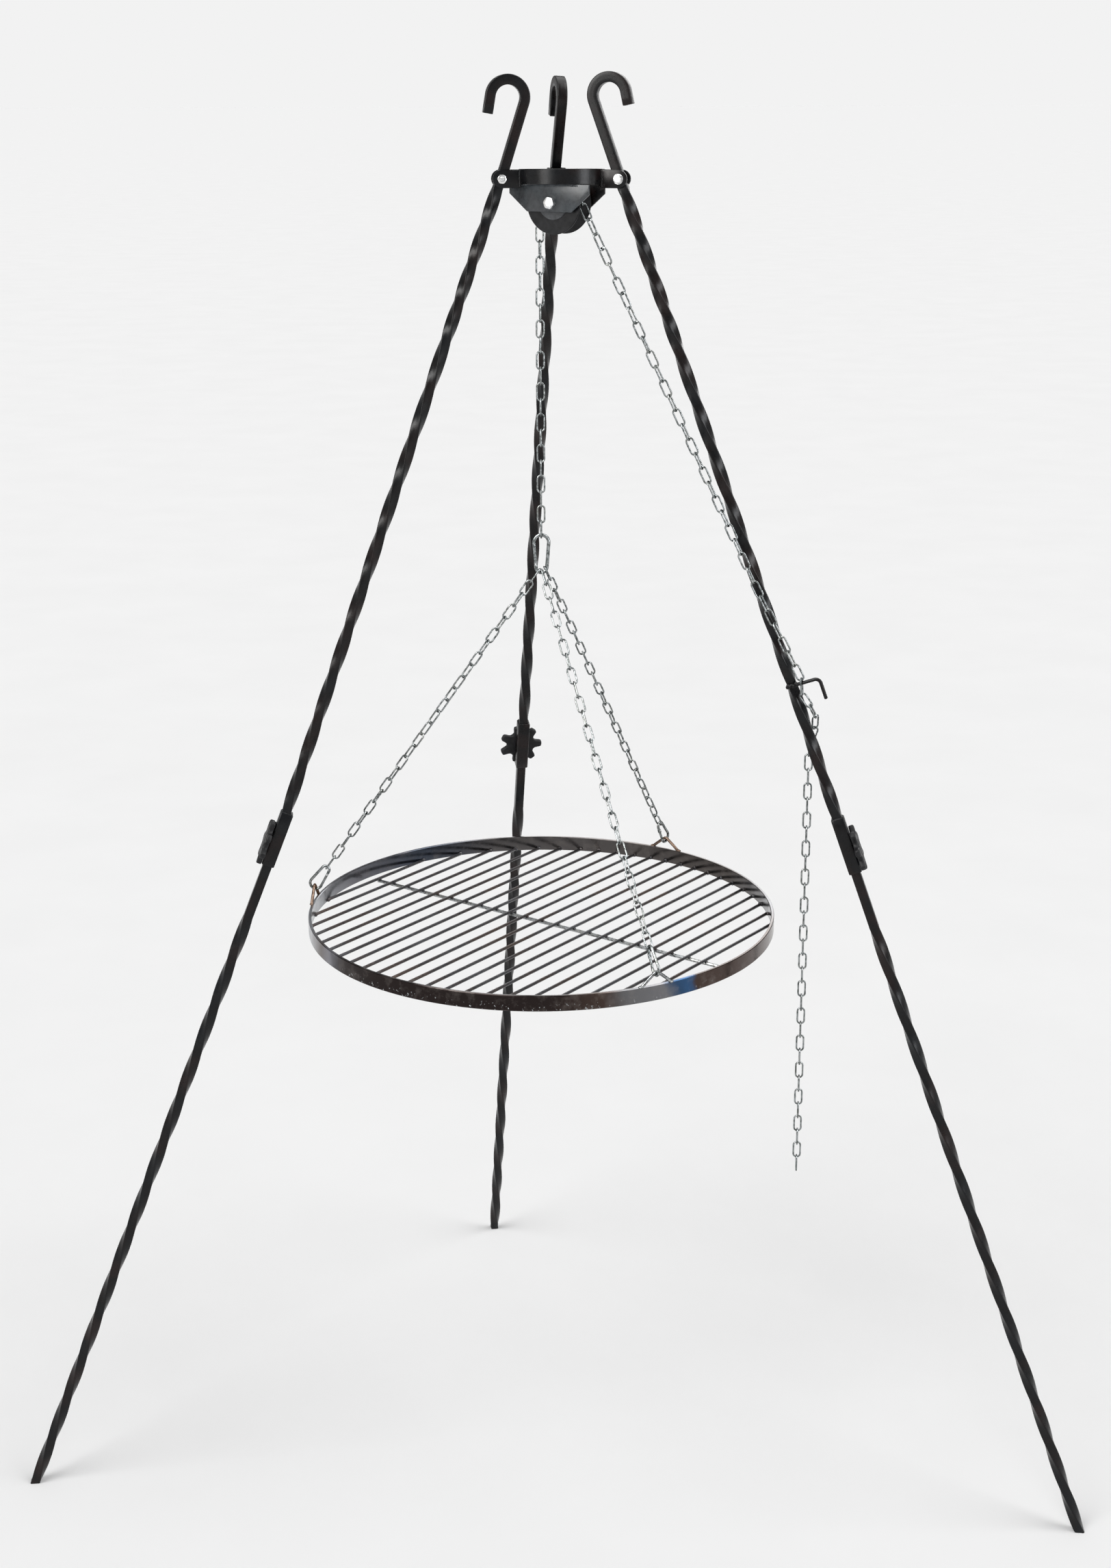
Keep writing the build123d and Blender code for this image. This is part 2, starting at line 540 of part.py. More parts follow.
def tail_ref(i, t):
    """Away from the leg's axis while the chain lies round it, then fixed."""
    m = (tail_nodes[i] + tail_nodes[i + 1]) * 0.5 - hk.origin
    x, y, low = m.dot(hk.x_dir), m.dot(hk.y_dir), -m.dot(hk.z_dir)
    if low > 706:
        x, y = -17.0, -4.5
    away = (hk.x_dir * x + hk.y_dir * y).normalized()
    k = min(1.0, i / 2.0)
    return hk.y_dir * (1 - k) + away * k


tail = chain(tail_nodes, PITCH, lambda i: 90 if i % 2 == 0 else 0, tail_ref)
# the links knotted round the leg stay with it, the rest hangs free from the next one
n_hitch = next(i for i, p in enumerate(tail_nodes) if p.Z < 1028.0) + 1
print("hitch links", n_hitch, "free chain hangs at", tail_nodes[n_hitch])
put("hoist_chain_hitch", tail[:n_hitch])
put("hoist_chain_tail", tail[n_hitch:])

# ---------------------------------------------------------------- grate
gc = vec(GRATE_X, GRATE_Y, 0)
rim = Pos(GRATE_X, GRATE_Y, GRATE_TOP - RIM_H / 2) * (Cylinder(RIM_R, RIM_H) - Cylinder(RIM_R - RIM_T, RIM_H + 2))
put("grate_rim", rim.solid())
ra = math.radians(ROD_ANGLE)
rd, rn = vec(math.cos(ra), math.sin(ra), 0), vec(-math.sin(ra), math.cos(ra), 0)
rod_z = GRATE_TOP - RIM_H + ROD_D / 2 + 0.5
inside = Pos(GRATE_X, GRATE_Y, rod_z) * Cylinder(RIM_R - RIM_T, 20)
rods = []
for i in range(ROD_N):
    off = ROD_FIRST - ROD_STEP * i
    half = math.sqrt((RIM_R - RIM_T) ** 2 - (abs(off) - ROD_D / 2) ** 2) + 1
    c = gc + rn * off + vec(0, 0, rod_z)
    r = cyl(tuple(c - rd * half), tuple(c + rd * half), ROD_D / 2)
    r = r & inside
    rods.append(r.solids()[0])
put("grate_rods", rods)
cb_z = rod_z - (ROD_D + CROSS_D) / 2
c0 = gc + rn * (ROD_FIRST + 3) + rd * 6.0 + vec(0, 0, cb_z)
c1 = gc - rn * 275.0 + rd * 6.0 + vec(0, 0, cb_z)
put("grate_cross_bar", cyl(tuple(c0), tuple(c1), CROSS_D / 2))

# three V-shaped hangers welded on the rim's top edge
apex = {}
for name, (th, rise) in HANGERS.items():
    a = math.radians(th)
    rr = RIM_R - RIM_T / 2
    o = gc + vec(rr * math.cos(a), rr * math.sin(a), GRATE_TOP)
    tang = vec(-math.sin(a), math.cos(a), 0)
    rad = vec(math.cos(a), math.sin(a), 0)
    hz = rise - HANGER_D / 2
    low = -6.0
    k = HANGER_HALF / hz
    path = FilletPolyline(tuple(o + tang * (HANGER_HALF + k * -low) + vec(0, 0, low)),
                          tuple(o + vec(0, 0, hz + 1.2)),
                          tuple(o - tang * (HANGER_HALF + k * -low) + vec(0, 0, low)), radius=5.0)
    first = path @ 0
    hanger = sweep(Plane(origin=first, z_dir=path % 0) * Circle(HANGER_D / 2), path=path)
    hanger = hanger - Pos(o.X, o.Y, GRATE_TOP - 20) * Box(120, 120, 40)
    put(f"{name}_hanger", hanger.solid())
    apex[name] = (o, rad, tang, hz)

# ---------------------------------------------------------------- slings
sm = snap(SMALL_SNAP)
small_end = top_c + vec(0, 0, top["zs"])          # centre of the top hook's small end
SEATS = {"left": -38.0, "front": 12.0, "back": 56.0}   # where each sling sits on that bend


def seat(name, target):
    """Inner end of a sling's first link, its direction and the wire's direction there."""
    a = math.radians(SEATS[name])
    wc = small_end + vec(math.sin(a), 0, -math.cos(a)) * top["rs"]
    wt = vec(math.cos(a), 0, math.sin(a))
    d = (target - wc).normalized()
    tilt_c = math.sqrt(1 - d.dot(wt) ** 2)
    reach = (TOP_SNAP[0] / 2 + LINK_D / 2 + (0.8 if name == "back" else 0.45)) / tilt_c - LINK_D / 2
    return wc - d * reach, d, (wt - d * d.dot(wt)).normalized()


small_pins = []
gate_info = {}
for name in ("left", "front", "back"):
    o, rad, tang, hz = apex[name]
    # the snap hook's big end holds the hanger's apex, its small end takes the chain
    bar = o + vec(0, 0, hz)
    start, down, first_n = seat(name, bar)
    t = (start - bar).normalized()
    length = SMALL_SNAP[1]
    d = SMALL_SNAP[0]
    # far enough under the apex to clear both sides of the bent wire
    slope = math.atan2(hz + 1.2, HANGER_HALF)
    clear = d / 2 + HANGER_D / 2 + 0.3
    play = sm["rb"] - max(clear, clear / math.cos(slope) - 1.2)
    c = bar + t * play + t * sm["zb"]
    # snap hook lies in the plane of the sling and the rim's radius
    xdir = (rad - t * rad.dot(t)).normalized()
    pl = Plane(origin=c, x_dir=-xdir, z_dir=-t)
    put(f"{name}_snap_hook", hang(sm["body"], pl))
    put(f"{name}_snap_gate", hang(sm["gate"], pl))
    small_pins.append(hang(sm["pin"], pl))
    hp = pl.origin + pl.x_dir * sm["hinge"].X + pl.z_dir * sm["hinge"].Z
    gate_info[name] = (hp, pl.y_dir)
    print(name, "gate hinge", hp, "axis", pl.y_dir)
    ring_top = c + t * (length / 2 - d)            # inner top of the snap hook
    end = ring_top - t * 0.1
    total = (start - end).length
    n = round(total / PITCH)
    p = total / n
    nd = [end + (start - end) * (i / n) for i in range(n + 1)]
    print(name, "sling links", n, "pitch", p)
    # rolls run from square to the snap hook at the rim to square to the wire at the top
    q = t.cross(xdir)
    wide = first_n.cross(t)
    want = math.degrees(math.atan2(wide.dot(q), wide.dot(xdir)))
    base = 90.0 + 90.0 * ((n - 1) % 2)
    turn = (want - base + 90.0) % 180.0 - 90.0
    links = chain(nd, p, lambda i, nn=n, tu=turn: 90.0 + 90.0 * (i % 2) + tu * i / (nn - 1),
                  lambda i, tt, xd=xdir: xd)
    put(f"{name}_sling_chain", links)
put("sling_snap_rivets", small_pins)

boxes = list(made.values())
lo_c = [min(getattr(b.min, c) for b in boxes) for c in "XYZ"]
hi_c = [max(getattr(b.max, c) for b in boxes) for c in "XYZ"]
print("box", [round(v, 2) for v in lo_c], [round(v, 2) for v in hi_c])
print("middle", (lo_c[0] + hi_c[0]) / 2, (lo_c[1] + hi_c[1]) / 2, "nodes", len(made))
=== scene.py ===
import bmesh
import bpy
import math
import random
import numpy as np
from mathutils import Matrix


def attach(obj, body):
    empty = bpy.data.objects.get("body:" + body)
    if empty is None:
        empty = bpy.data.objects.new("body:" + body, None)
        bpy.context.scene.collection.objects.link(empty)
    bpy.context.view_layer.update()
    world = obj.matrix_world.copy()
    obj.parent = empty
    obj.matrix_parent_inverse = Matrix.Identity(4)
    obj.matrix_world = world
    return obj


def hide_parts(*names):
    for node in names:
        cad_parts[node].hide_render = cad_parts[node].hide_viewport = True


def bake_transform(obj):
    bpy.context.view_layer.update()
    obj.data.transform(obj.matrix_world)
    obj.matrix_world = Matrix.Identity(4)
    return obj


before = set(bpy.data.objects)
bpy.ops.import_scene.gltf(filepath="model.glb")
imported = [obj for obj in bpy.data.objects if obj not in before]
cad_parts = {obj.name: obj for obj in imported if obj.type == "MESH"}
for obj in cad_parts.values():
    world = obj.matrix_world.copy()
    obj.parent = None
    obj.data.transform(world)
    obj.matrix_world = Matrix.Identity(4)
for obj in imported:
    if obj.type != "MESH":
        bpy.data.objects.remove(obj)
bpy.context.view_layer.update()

rnd = random.Random(7)
rs = np.random.RandomState(11)

# everything below is laid out in millimetres about the tripod's own axis, then shifted
OFF = np.array([22.85, -160.17, 0.0])


def V(*a):
    return np.array(a, float)


def norm(v):
    v = np.asarray(v, float)
    return v / np.linalg.norm(v)


# ------------------------------------------------------------------ materials
def new_mat(name):
    m = bpy.data.materials.new(name)
    m.use_nodes = True
    nt = m.node_tree
    b = next(n for n in nt.nodes if n.type == "BSDF_PRINCIPLED")
    return m, nt, b


def node(nt, kind, **kw):
    n = nt.nodes.new(kind)
    for k, v in kw.items():
        setattr(n, k, v)
    return n


def coords(nt, scale=(1, 1, 1)):
    tc = node(nt, "ShaderNodeTexCoord")
    mp = node(nt, "ShaderNodeMapping")
    mp.inputs["Scale"].default_value = scale
    nt.links.new(tc.outputs["Object"], mp.inputs["Vector"])
    return mp.outputs["Vector"]


def noise(nt, vec, scale, detail=4.0, rough=0.55):
    n = node(nt, "ShaderNodeTexNoise")
    n.inputs["Scale"].default_value = scale
    n.inputs["Detail"].default_value = detail
    n.inputs["Roughness"].default_value = rough
    nt.links.new(vec, n.inputs["Vector"])
    return n.outputs["Fac"]


def ramp(nt, fac, stops, interp="LINEAR"):
    r = node(nt, "ShaderNodeValToRGB")
    r.color_ramp.interpolation = interp
    el = r.color_ramp.elements
    while len(el) > 1:
        el.remove(el[-1])
    el[0].position, el[0].color = stops[0][0], (*stops[0][1], 1)
    for p, c in stops[1:]:
        e = el.new(p)
        e.color = (*c, 1)
    nt.links.new(fac, r.inputs["Fac"])
    return r.outputs["Color"]


def grey(v):
    return (v, v, v)


def bump(nt, b, height, strength, dist):
    n = node(nt, "ShaderNodeBump")
    n.inputs["Strength"].default_value = strength
    n.inputs["Distance"].default_value = dist
    nt.links.new(height, n.inputs["Height"])
    nt.links.new(n.outputs["Normal"], b.inputs["Normal"])


def mixc(nt, fac, a, b_, mode="MIX"):
    n = node(nt, "ShaderNodeMix", data_type="RGBA", blend_type=mode)
    if isinstance(fac, (int, float)):
        n.inputs[0].default_value = fac
    else:
        nt.links.new(fac, n.inputs[0])
    for sock, val in ((n.inputs[6], a), (n.inputs[7], b_)):
        if isinstance(val, tuple):
            sock.default_value = (*val, 1)
        else:
            nt.links.new(val, sock)
    return n.outputs[2]


def make_paint(name, spec=0.24, brown=(0.012, 0.0062, 0.0058), blue=(0.0040, 0.0052, 0.0068), dark=(0.0030, 0.0026, 0.0030)):
    m, nt, b = new_mat(name)
    v = coords(nt)
    big = noise(nt, v, 22, 3)
    fine = noise(nt, v, 900, 3, 0.6)
    mid = noise(nt, v, 160, 4, 0.6)
    # brown and blue patches: a painted highlight colour, the hue of the paint's highlight patches mixed into the base
    # colour
    highlight_tint = ramp(nt, big, [(0.36, brown), (0.5, dark), (0.64, blue)])
    col = mixc(nt, ramp(nt, mid, [(0.45, grey(0.0)), (0.8, grey(0.35))]), highlight_tint, tuple(c * 3.2 for c in dark))
    nt.links.new(col, b.inputs["Base Color"])
    nt.links.new(ramp(nt, mid, [(0.3, grey(0.24)), (0.7, grey(0.36))]), b.inputs["Roughness"])
    b.inputs["Specular IOR Level"].default_value = spec
    b.inputs["Coat Weight"].default_value = 0.04
    b.inputs["Coat Roughness"].default_value = 0.28
    bump(nt, b, fine, 0.10, 0.0004)
    return m


def make_zinc(name, base=(0.37, 0.39, 0.395), dark=(0.10, 0.112, 0.11), rough=(0.12, 0.26), metal=1.0, edge=0.15):
    m, nt, b = new_mat(name)
    v = coords(nt)
    mid = noise(nt, v, 260, 4, 0.6)
    big = noise(nt, v, 40, 3)
    c1 = ramp(nt, mid, [(0.38, dark), (0.58, base)])
    c2 = mixc(nt, ramp(nt, big, [(0.45, grey(0.0)), (0.75, grey(0.35))]), c1, tuple(c * 0.8 for c in (base[0] * 1.1, base[1], base[2] * 0.85)))
    nt.links.new(c2, b.inputs["Base Color"])
    nt.links.new(ramp(nt, mid, [(0.35, grey(rough[1])), (0.65, grey(rough[0]))]), b.inputs["Roughness"])
    b.inputs["Metallic"].default_value = metal
    b.inputs["Specular Tint"].default_value = (edge, edge, edge, 1)
    bump(nt, b, noise(nt, v, 700, 3), 0.12, 0.0003)
    return m


def make_plastic(name, col=(0.010, 0.010, 0.011), rough=(0.38, 0.55)):
    m, nt, b = new_mat(name)
    v = coords(nt)
    mid = noise(nt, v, 120, 4)
    nt.links.new(ramp(nt, mid, [(0.35, col), (0.75, tuple(c * 2.2 + 0.004 for c in col))]), b.inputs["Base Color"])
    nt.links.new(ramp(nt, mid, [(0.3, grey(rough[0])), (0.7, grey(rough[1]))]), b.inputs["Roughness"])
    b.inputs["Specular IOR Level"].default_value = 0.22
    bump(nt, b, noise(nt, v, 1400, 2), 0.15, 0.0003)
    return m


def make_rod(name):
    m, nt, b = new_mat(name)
    v = coords(nt)
    big = noise(nt, v, 9, 4)
    mid = noise(nt, v, 300, 4)
    c = ramp(nt, big, [(0.36, (0.085, 0.063, 0.055)), (0.5, (0.062, 0.060, 0.064)), (0.66, (0.105, 0.108, 0.116))])
    c = mixc(nt, ramp(nt, mid, [(0.5, grey(0.0)), (0.85, grey(0.5))]), c, (0.16, 0.13, 0.11))
    nt.links.new(c, b.inputs["Base Color"])
    nt.links.new(ramp(nt, mid, [(0.3, grey(0.26)), (0.7, grey(0.42))]), b.inputs["Roughness"])
    b.inputs["Metallic"].default_value = 0.85
    bump(nt, b, mid, 0.15, 0.0003)
    return m


def make_rim(name):
    """Polished band: bright steel with heat-tinted dark stretches and a blue patch, a lighter grey stretch front-right
    of centre that is a painted highlight, and lighter streaks that are painted reflections.
    """
    m, nt, b = new_mat(name)
    tc = node(nt, "ShaderNodeTexCoord")
    mp = node(nt, "ShaderNodeMapping")
    cx, cy = (-29.5 + OFF[0]) / 1000, OFF[1] / 1000
    mp.inputs["Location"].default_value = (-cx, -cy, 0)
    nt.links.new(tc.outputs["Object"], mp.inputs["Vector"])
    sep = node(nt, "ShaderNodeSeparateXYZ")
    nt.links.new(mp.outputs["Vector"], sep.inputs[0])
    at = node(nt, "ShaderNodeMath", operation="ARCTAN2")
    nt.links.new(sep.outputs[1], at.inputs[0])
    nt.links.new(sep.outputs[0], at.inputs[1])
    turn = node(nt, "ShaderNodeMapRange")
    turn.inputs["From Min"].default_value = -math.pi
    turn.inputs["From Max"].default_value = math.pi
    nt.links.new(at.outputs[0], turn.inputs["Value"])
    ang = turn.outputs["Result"]             # 0 at the left end, 0.25 front, 0.5 right, 0.75 rear
    wob = node(nt, "ShaderNodeMath", operation="MULTIPLY_ADD")
    v = tc.outputs["Object"]
    mapped = node(nt, "ShaderNodeMapping")
    nt.links.new(v, mapped.inputs["Vector"])
    vv = mapped.outputs["Vector"]
    nt.links.new(noise(nt, vv, 14, 4), wob.inputs[0])
    wob.inputs[1].default_value = 0.03
    nt.links.new(ang, wob.inputs[2])
    a = wob.outputs[0]
    steel, brown, deep, blue = (0.36, 0.37, 0.39), (0.060, 0.040, 0.033), (0.022, 0.016, 0.015), (0.045, 0.13, 0.30)
    # stops 0.322 to 0.349: a lighter grey stretch on the front-right, a painted highlight
    base = ramp(nt, a, [(0.0, (0.33, 0.34, 0.36)), (0.055, (0.30, 0.31, 0.34)), (0.085, brown), (0.10, (0.22, 0.22, 0.25)),
                        (0.115, deep), (0.275, deep), (0.305, brown), (0.322, (0.13, 0.13, 0.135)), (0.349, (0.17, 0.17, 0.18)), (0.354, (0.03, 0.065, 0.13)),
                        (0.366, (0.035, 0.095, 0.21)), (0.370, brown), (0.42, (0.075, 0.052, 0.045)), (0.47, (0.12, 0.095, 0.085)), (0.52, (0.20, 0.20, 0.21)), (0.60, (0.075, 0.065, 0.060)),
                        (0.80, (0.085, 0.080, 0.080)), (0.86, (0.045, 0.055, 0.075)), (0.93, (0.13, 0.13, 0.145)), (1.0, (0.33, 0.34, 0.36))])
    speck = noise(nt, vv, 330, 2, 0.5)
    low = node(nt, "ShaderNodeMapRange")
    low.inputs["From Min"].default_value = 0.781
    low.inputs["From Max"].default_value = 0.770
    sz = node(nt, "ShaderNodeSeparateXYZ")
    nt.links.new(v, sz.inputs[0])
    nt.links.new(sz.outputs[2], low.inputs["Value"])
    spots = ramp(nt, speck, [(0.655, grey(0.0)), (0.70, grey(1.0))])
    where = ramp(nt, a, [(0.10, grey(0.0)), (0.14, grey(1.0)), (0.27, grey(1.0)), (0.33, grey(0.25)), (0.5, grey(0.0))])
    f1 = node(nt, "ShaderNodeMath", operation="MULTIPLY")
    nt.links.new(spots, f1.inputs[0]); nt.links.new(where, f1.inputs[1])
    f2 = node(nt, "ShaderNodeMath", operation="MULTIPLY")
    nt.links.new(f1.outputs[0], f2.inputs[0]); nt.links.new(low.outputs["Result"], f2.inputs[1])
    col = mixc(nt, f2.outputs[0], base, (0.75, 0.80, 0.82))
    # lighter streaks from this noise are painted reflection streaks; the same noise also varies the roughness
    streak = noise(nt, vv, 60, 5, 0.65)
    col = mixc(nt, ramp(nt, streak, [(0.5, grey(0.0)), (0.8, grey(0.3))]), col, (0.30, 0.27, 0.25))
    nt.links.new(col, b.inputs["Base Color"])
    nt.links.new(ramp(nt, streak, [(0.3, grey(0.10)), (0.75, grey(0.30))]), b.inputs["Roughness"])
    b.inputs["Metallic"].default_value = 0.92
    bump(nt, b, noise(nt, vv, 120, 3), 0.06, 0.0006)
    return m


PAINT = make_paint("black_paint")
# lighter grey copy of the black paint, used on the front pulley plate only: painted light on its lit face
LIT_PLATE_PAINT = make_paint("lit_plate_paint", spec=0.4, brown=(0.062, 0.064, 0.068), blue=(0.055, 0.066, 0.074), dark=(0.050, 0.054, 0.058))
ZINC = make_zinc("bright_zinc")
BOLT = make_zinc("bolt_zinc", base=(0.86, 0.87, 0.88), dark=(0.66, 0.67, 0.68), rough=(0.22, 0.36), metal=0.85, edge=0.8)
HOOKW = make_zinc("hook_wire", base=(0.40, 0.39, 0.37), dark=(0.16, 0.14, 0.13), rough=(0.25, 0.42))
PLASTIC = make_plastic("knob_black")
PULLEY = make_plastic("pulley_black", col=(0.006, 0.006, 0.007), rough=(0.28, 0.42))
# lighter grey plastic for the recessed hub faces: a painted reflection of the bright surroundings
HUB_REFLECTION = make_plastic("pulley_hub", col=(0.055, 0.058, 0.062), rough=(0.35, 0.5))
ROD = make_rod("rod_steel")
RIM = make_rim("rim_steel")
HANG = make_zinc("hanger_brown", base=(0.24, 0.17, 0.13), dark=(0.10, 0.065, 0.05), rough=(0.25, 0.4))
SILVER = make_zinc("hanger_bright", base=(0.42, 0.44, 0.45), dark=(0.12, 0.12, 0.12), rough=(0.18, 0.34))

# ------------------------------------------------------------------ mesh helpers
made = []


def add(name, verts, faces, mat, body=None, nodes=(), sharp=38.0, smooth=True):
    """verts in millimetres about the tripod axis."""
    me = bpy.data.meshes.new(name)
    co = (np.asarray(verts, float) + OFF) / 1000.0
    me.from_pydata([tuple(c) for c in co], [], [tuple(int(i) for i in f) for f in faces])
    me.validate()
    me.update()
    if smooth:
        me.shade_smooth()
        me.set_sharp_from_angle(angle=math.radians(sharp))
    ob = bpy.data.objects.new(name, me)
    bpy.context.scene.collection.objects.link(ob)
    me.materials.append(mat)
    if body:
        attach(ob, body)
    if nodes:
        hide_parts(*nodes)
    made.append(ob)
    return ob


class Bag:
    """Several shapes gathered in one mesh."""

    def __init__(self):
        self.v, self.f, self.n, self.m = [], [], 0, []

    def add(self, v, f, mi=0):
        v = np.asarray(v, float)
        self.v.append(v)
        self.f += [[i + self.n for i in q] for q in f]
        self.m += [mi] * len(f)
        self.n += len(v)
        return self

    def out(self, name, mat, body=None, nodes=(), sharp=38.0, mats=()):
        ob = add(name, np.vstack(self.v), self.f, mat, body, nodes, sharp)
        if mats:
            for x in mats:
                ob.data.materials.append(x)
            ob.data.polygons.foreach_set("material_index", self.m)
        return ob


def loft(rings, closed=False, caps=True):
    """rings: list of (n,3) arrays with the same n."""
    k, n = len(rings), len(rings[0])
    v = np.vstack(rings)
    f = []
    last = k if closed else k - 1
    for i in range(last):
        a, b = i * n, ((i + 1) % k) * n
        for j in range(n):
            j2 = (j + 1) % n
            f.append([a + j, a + j2, b + j2, b + j])
    if caps and not closed:
        f.append(list(range(n))[::-1])
        f.append([(k - 1) * n + j for j in range(n)])
    return v, f


def square(side, r, seg=3, mid=2):
    """Rounded square outline."""
    h = side / 2
    pts = []
    for q in range(4):
        c = np.array([[1, 1], [-1, 1], [-1, -1], [1, -1]][q]) * (h - r)
        for i in range(seg + 1):
            a = math.radians(90 * q + 90 * i / seg)
            pts.append(c + r * np.array([math.cos(a), math.sin(a)]))
        nc = np.array([[1, 1], [-1, 1], [-1, -1], [1, -1]][(q + 1) % 4]) * (h - r)
        a = math.radians(90 * (q + 1))
        p0, p1 = pts[-1], nc + r * np.array([math.cos(a), math.sin(a)])
        for i in range(1, mid + 1):
            pts.append(p0 + (p1 - p0) * i / (mid + 1))
    return np.array(pts)


def circle(r, n=14):
    a = np.arange(n) * 2 * math.pi / n
    return np.stack([r * np.cos(a), r * np.sin(a)], 1)


def place(prof, c, x, y, s=1.0):
    return c + prof[:, :1] * s * x + prof[:, 1:] * s * y


def rounded_ends(rings_fn, path_len, r):
    return


def tube(points, r, n=12, closed=False, round_ends=True, ref=None, squash=None):
    """Round wire through points (kept as given)."""
    P = np.asarray(points, float)
    k = len(P)
    T = np.zeros_like(P)
    if closed:
        T = np.roll(P, -1, 0) - np.roll(P, 1, 0)
    else:
        T[1:-1] = P[2:] - P[:-2]
        T[0], T[-1] = P[1] - P[0], P[-1] - P[-2]
    T /= np.linalg.norm(T, axis=1)[:, None]
    x = np.cross(T[0], V(0.31, 0.52, 0.79)) if ref is None else np.asarray(ref, float)
    x = norm(x - T[0] * x.dot(T[0]))
    prof = circle(1.0, n)
    rings = []
    for i in range(k):
        x = norm(x - T[i] * x.dot(T[i]))
        y = np.cross(T[i], x)
        rings.append(place(prof, P[i], x, y, r))
        if i == 0:
            x0, y0 = x.copy(), y.copy()
    if not closed and round_ends:
        pre, post = [], []
        for a in (75, 50, 25):
            s, h = math.cos(math.radians(a)), math.sin(math.radians(a))
            pre.append(place(prof, P[0] - T[0] * r * h * 0.6, x0, y0, r * s))
            post.append(place(prof, P[-1] + T[-1] * r * h * 0.6, x, y, r * s))
        rings = pre + rings + post[::-1]
    return loft(rings, closed=closed)


def arc_pts(c, x, y, r, a0, a1, n):
    a = np.radians(np.linspace(a0, a1, n))
    return [c + r * math.cos(t) * x + r * math.sin(t) * y for t in a]


def revolve(prof, c, axis, seg=64, ref=None, closed_prof=True, wob=None):
    """prof: list of (r, h) round an axis through c."""
    axis = norm(axis)
    x = np.cross(axis, V(0.3, 0.5, 0.81)) if ref is None else np.asarray(ref, float)
    x = norm(x - axis * x.dot(axis))
    y = np.cross(axis, x)
    prof = np.asarray(prof, float)
    rings = []
    for i in range(seg):
        a = 2 * math.pi * i / seg
        d = x * math.cos(a) + y * math.sin(a)
        w = 0.0 if wob is None else wob(a)
        rings.append(c + (prof[:, :1] + w) * d + prof[:, 1:] * axis)
    return loft(rings, closed=True)


def prism(outline, t, c, x, y, bev=0.45, seg=2, holes=None):
    """Flat plate: outline in (x, y), thickness t about c, edges rounded."""
    z = np.cross(x, y)
    bm = bmesh.new()
    lo = [bm.verts.new(c + p[0] * x + p[1] * y - z * t / 2) for p in outline]
    hi = [bm.verts.new(c + p[0] * x + p[1] * y + z * t / 2) for p in outline]
    n = len(outline)
    bm.faces.new(lo[::-1])
    bm.faces.new(hi)
    for i in range(n):
        bm.faces.new([lo[i], lo[(i + 1) % n], hi[(i + 1) % n], hi[i]])
    bm.normal_update()
    if bev:
        es = [e for e in bm.edges if e.calc_face_angle(0) > math.radians(30)]
        bmesh.ops.bevel(bm, geom=es, offset=bev, segments=seg, profile=0.5, affect="EDGES")
    bm.verts.ensure_lookup_table()
    bm.verts.index_update()
    v = np.array([w.co[:] for w in bm.verts])
    f = [[w.index for w in q.verts] for q in bm.faces]
    bm.free()
    return v, f


def hexa(af, h, c, axis, cham=0.8, turn=0.0):
    """Hexagon head with a chamfered outer face; c is the seat's centre, axis points outwards."""
    axis = norm(axis)
    x = norm(np.cross(axis, V(0.01, 0.02, 1.0)))
    y = np.cross(axis, x)
    rc = af / math.sqrt(3)
    def ring(scale, z, rmax=None, n=36):
        pts = []
        for i in range(n):
            a = 2 * math.pi * i / n
            k = (a + turn) % (math.pi / 3) - math.pi / 6
            r = af / 2 / math.cos(k) * scale
            if rmax:
                r = min(r, rmax)
            pts.append(c + axis * z + x * r * math.cos(a) + y * r * math.sin(a))
        return np.array(pts)
    rings = [ring(0.97, 0), ring(1.0, 0.3), ring(1.0, h - cham), ring(1.0, h - cham * 0.35, af / 2 * 1.06),
             ring(1.0, h, af / 2 * 0.93), ring(1.0, h, af / 2 * 0.55)]
    return loft(rings)


def ball(c, r, sx=1.0, sy=1.0, sz=1.0, n=10, jitter=0.0, axes=None):
    """Small lump, sizes along the given axes."""
    axes = axes or (V(1, 0, 0), V(0, 1, 0), V(0, 0, 1))
    rings = []
    for i in range(1, n):
        a = math.pi * i / n
        rr, zz = math.sin(a), math.cos(a)
        ring = []
        for j in range(2 * n):
            b = math.pi * j / n
            k = 1 + jitter * math.sin(3.1 * b + 7 * a + r) * 0.5
            ring.append(c + k * r * (axes[0] * sx * rr * math.cos(b) + axes[1] * sy * rr * math.sin(b) + axes[2] * sz * zz))
        rings.append(np.array(ring))
    return loft(rings)


def bead(bag, p, q, r, up, step=1.5, jitter=0.35):
    """Weld seam of overlapping lumps from p to q."""
    p, q = np.asarray(p, float), np.asarray(q, float)
    n = max(2, int(np.linalg.norm(q - p) / step))
    t = norm(q - p)
    s = np.cross(t, norm(up))
    for i in range(n + 1):
        k = 1 + jitter * (rnd.random() - 0.5)
        c = p + (q - p) * i / n + s * (rnd.random() - 0.5) * r * 0.3
        bag.add(*ball(c, r * k, 1.0, 1.15, 0.75, n=6, jitter=0.1, axes=(t, s, norm(up))))


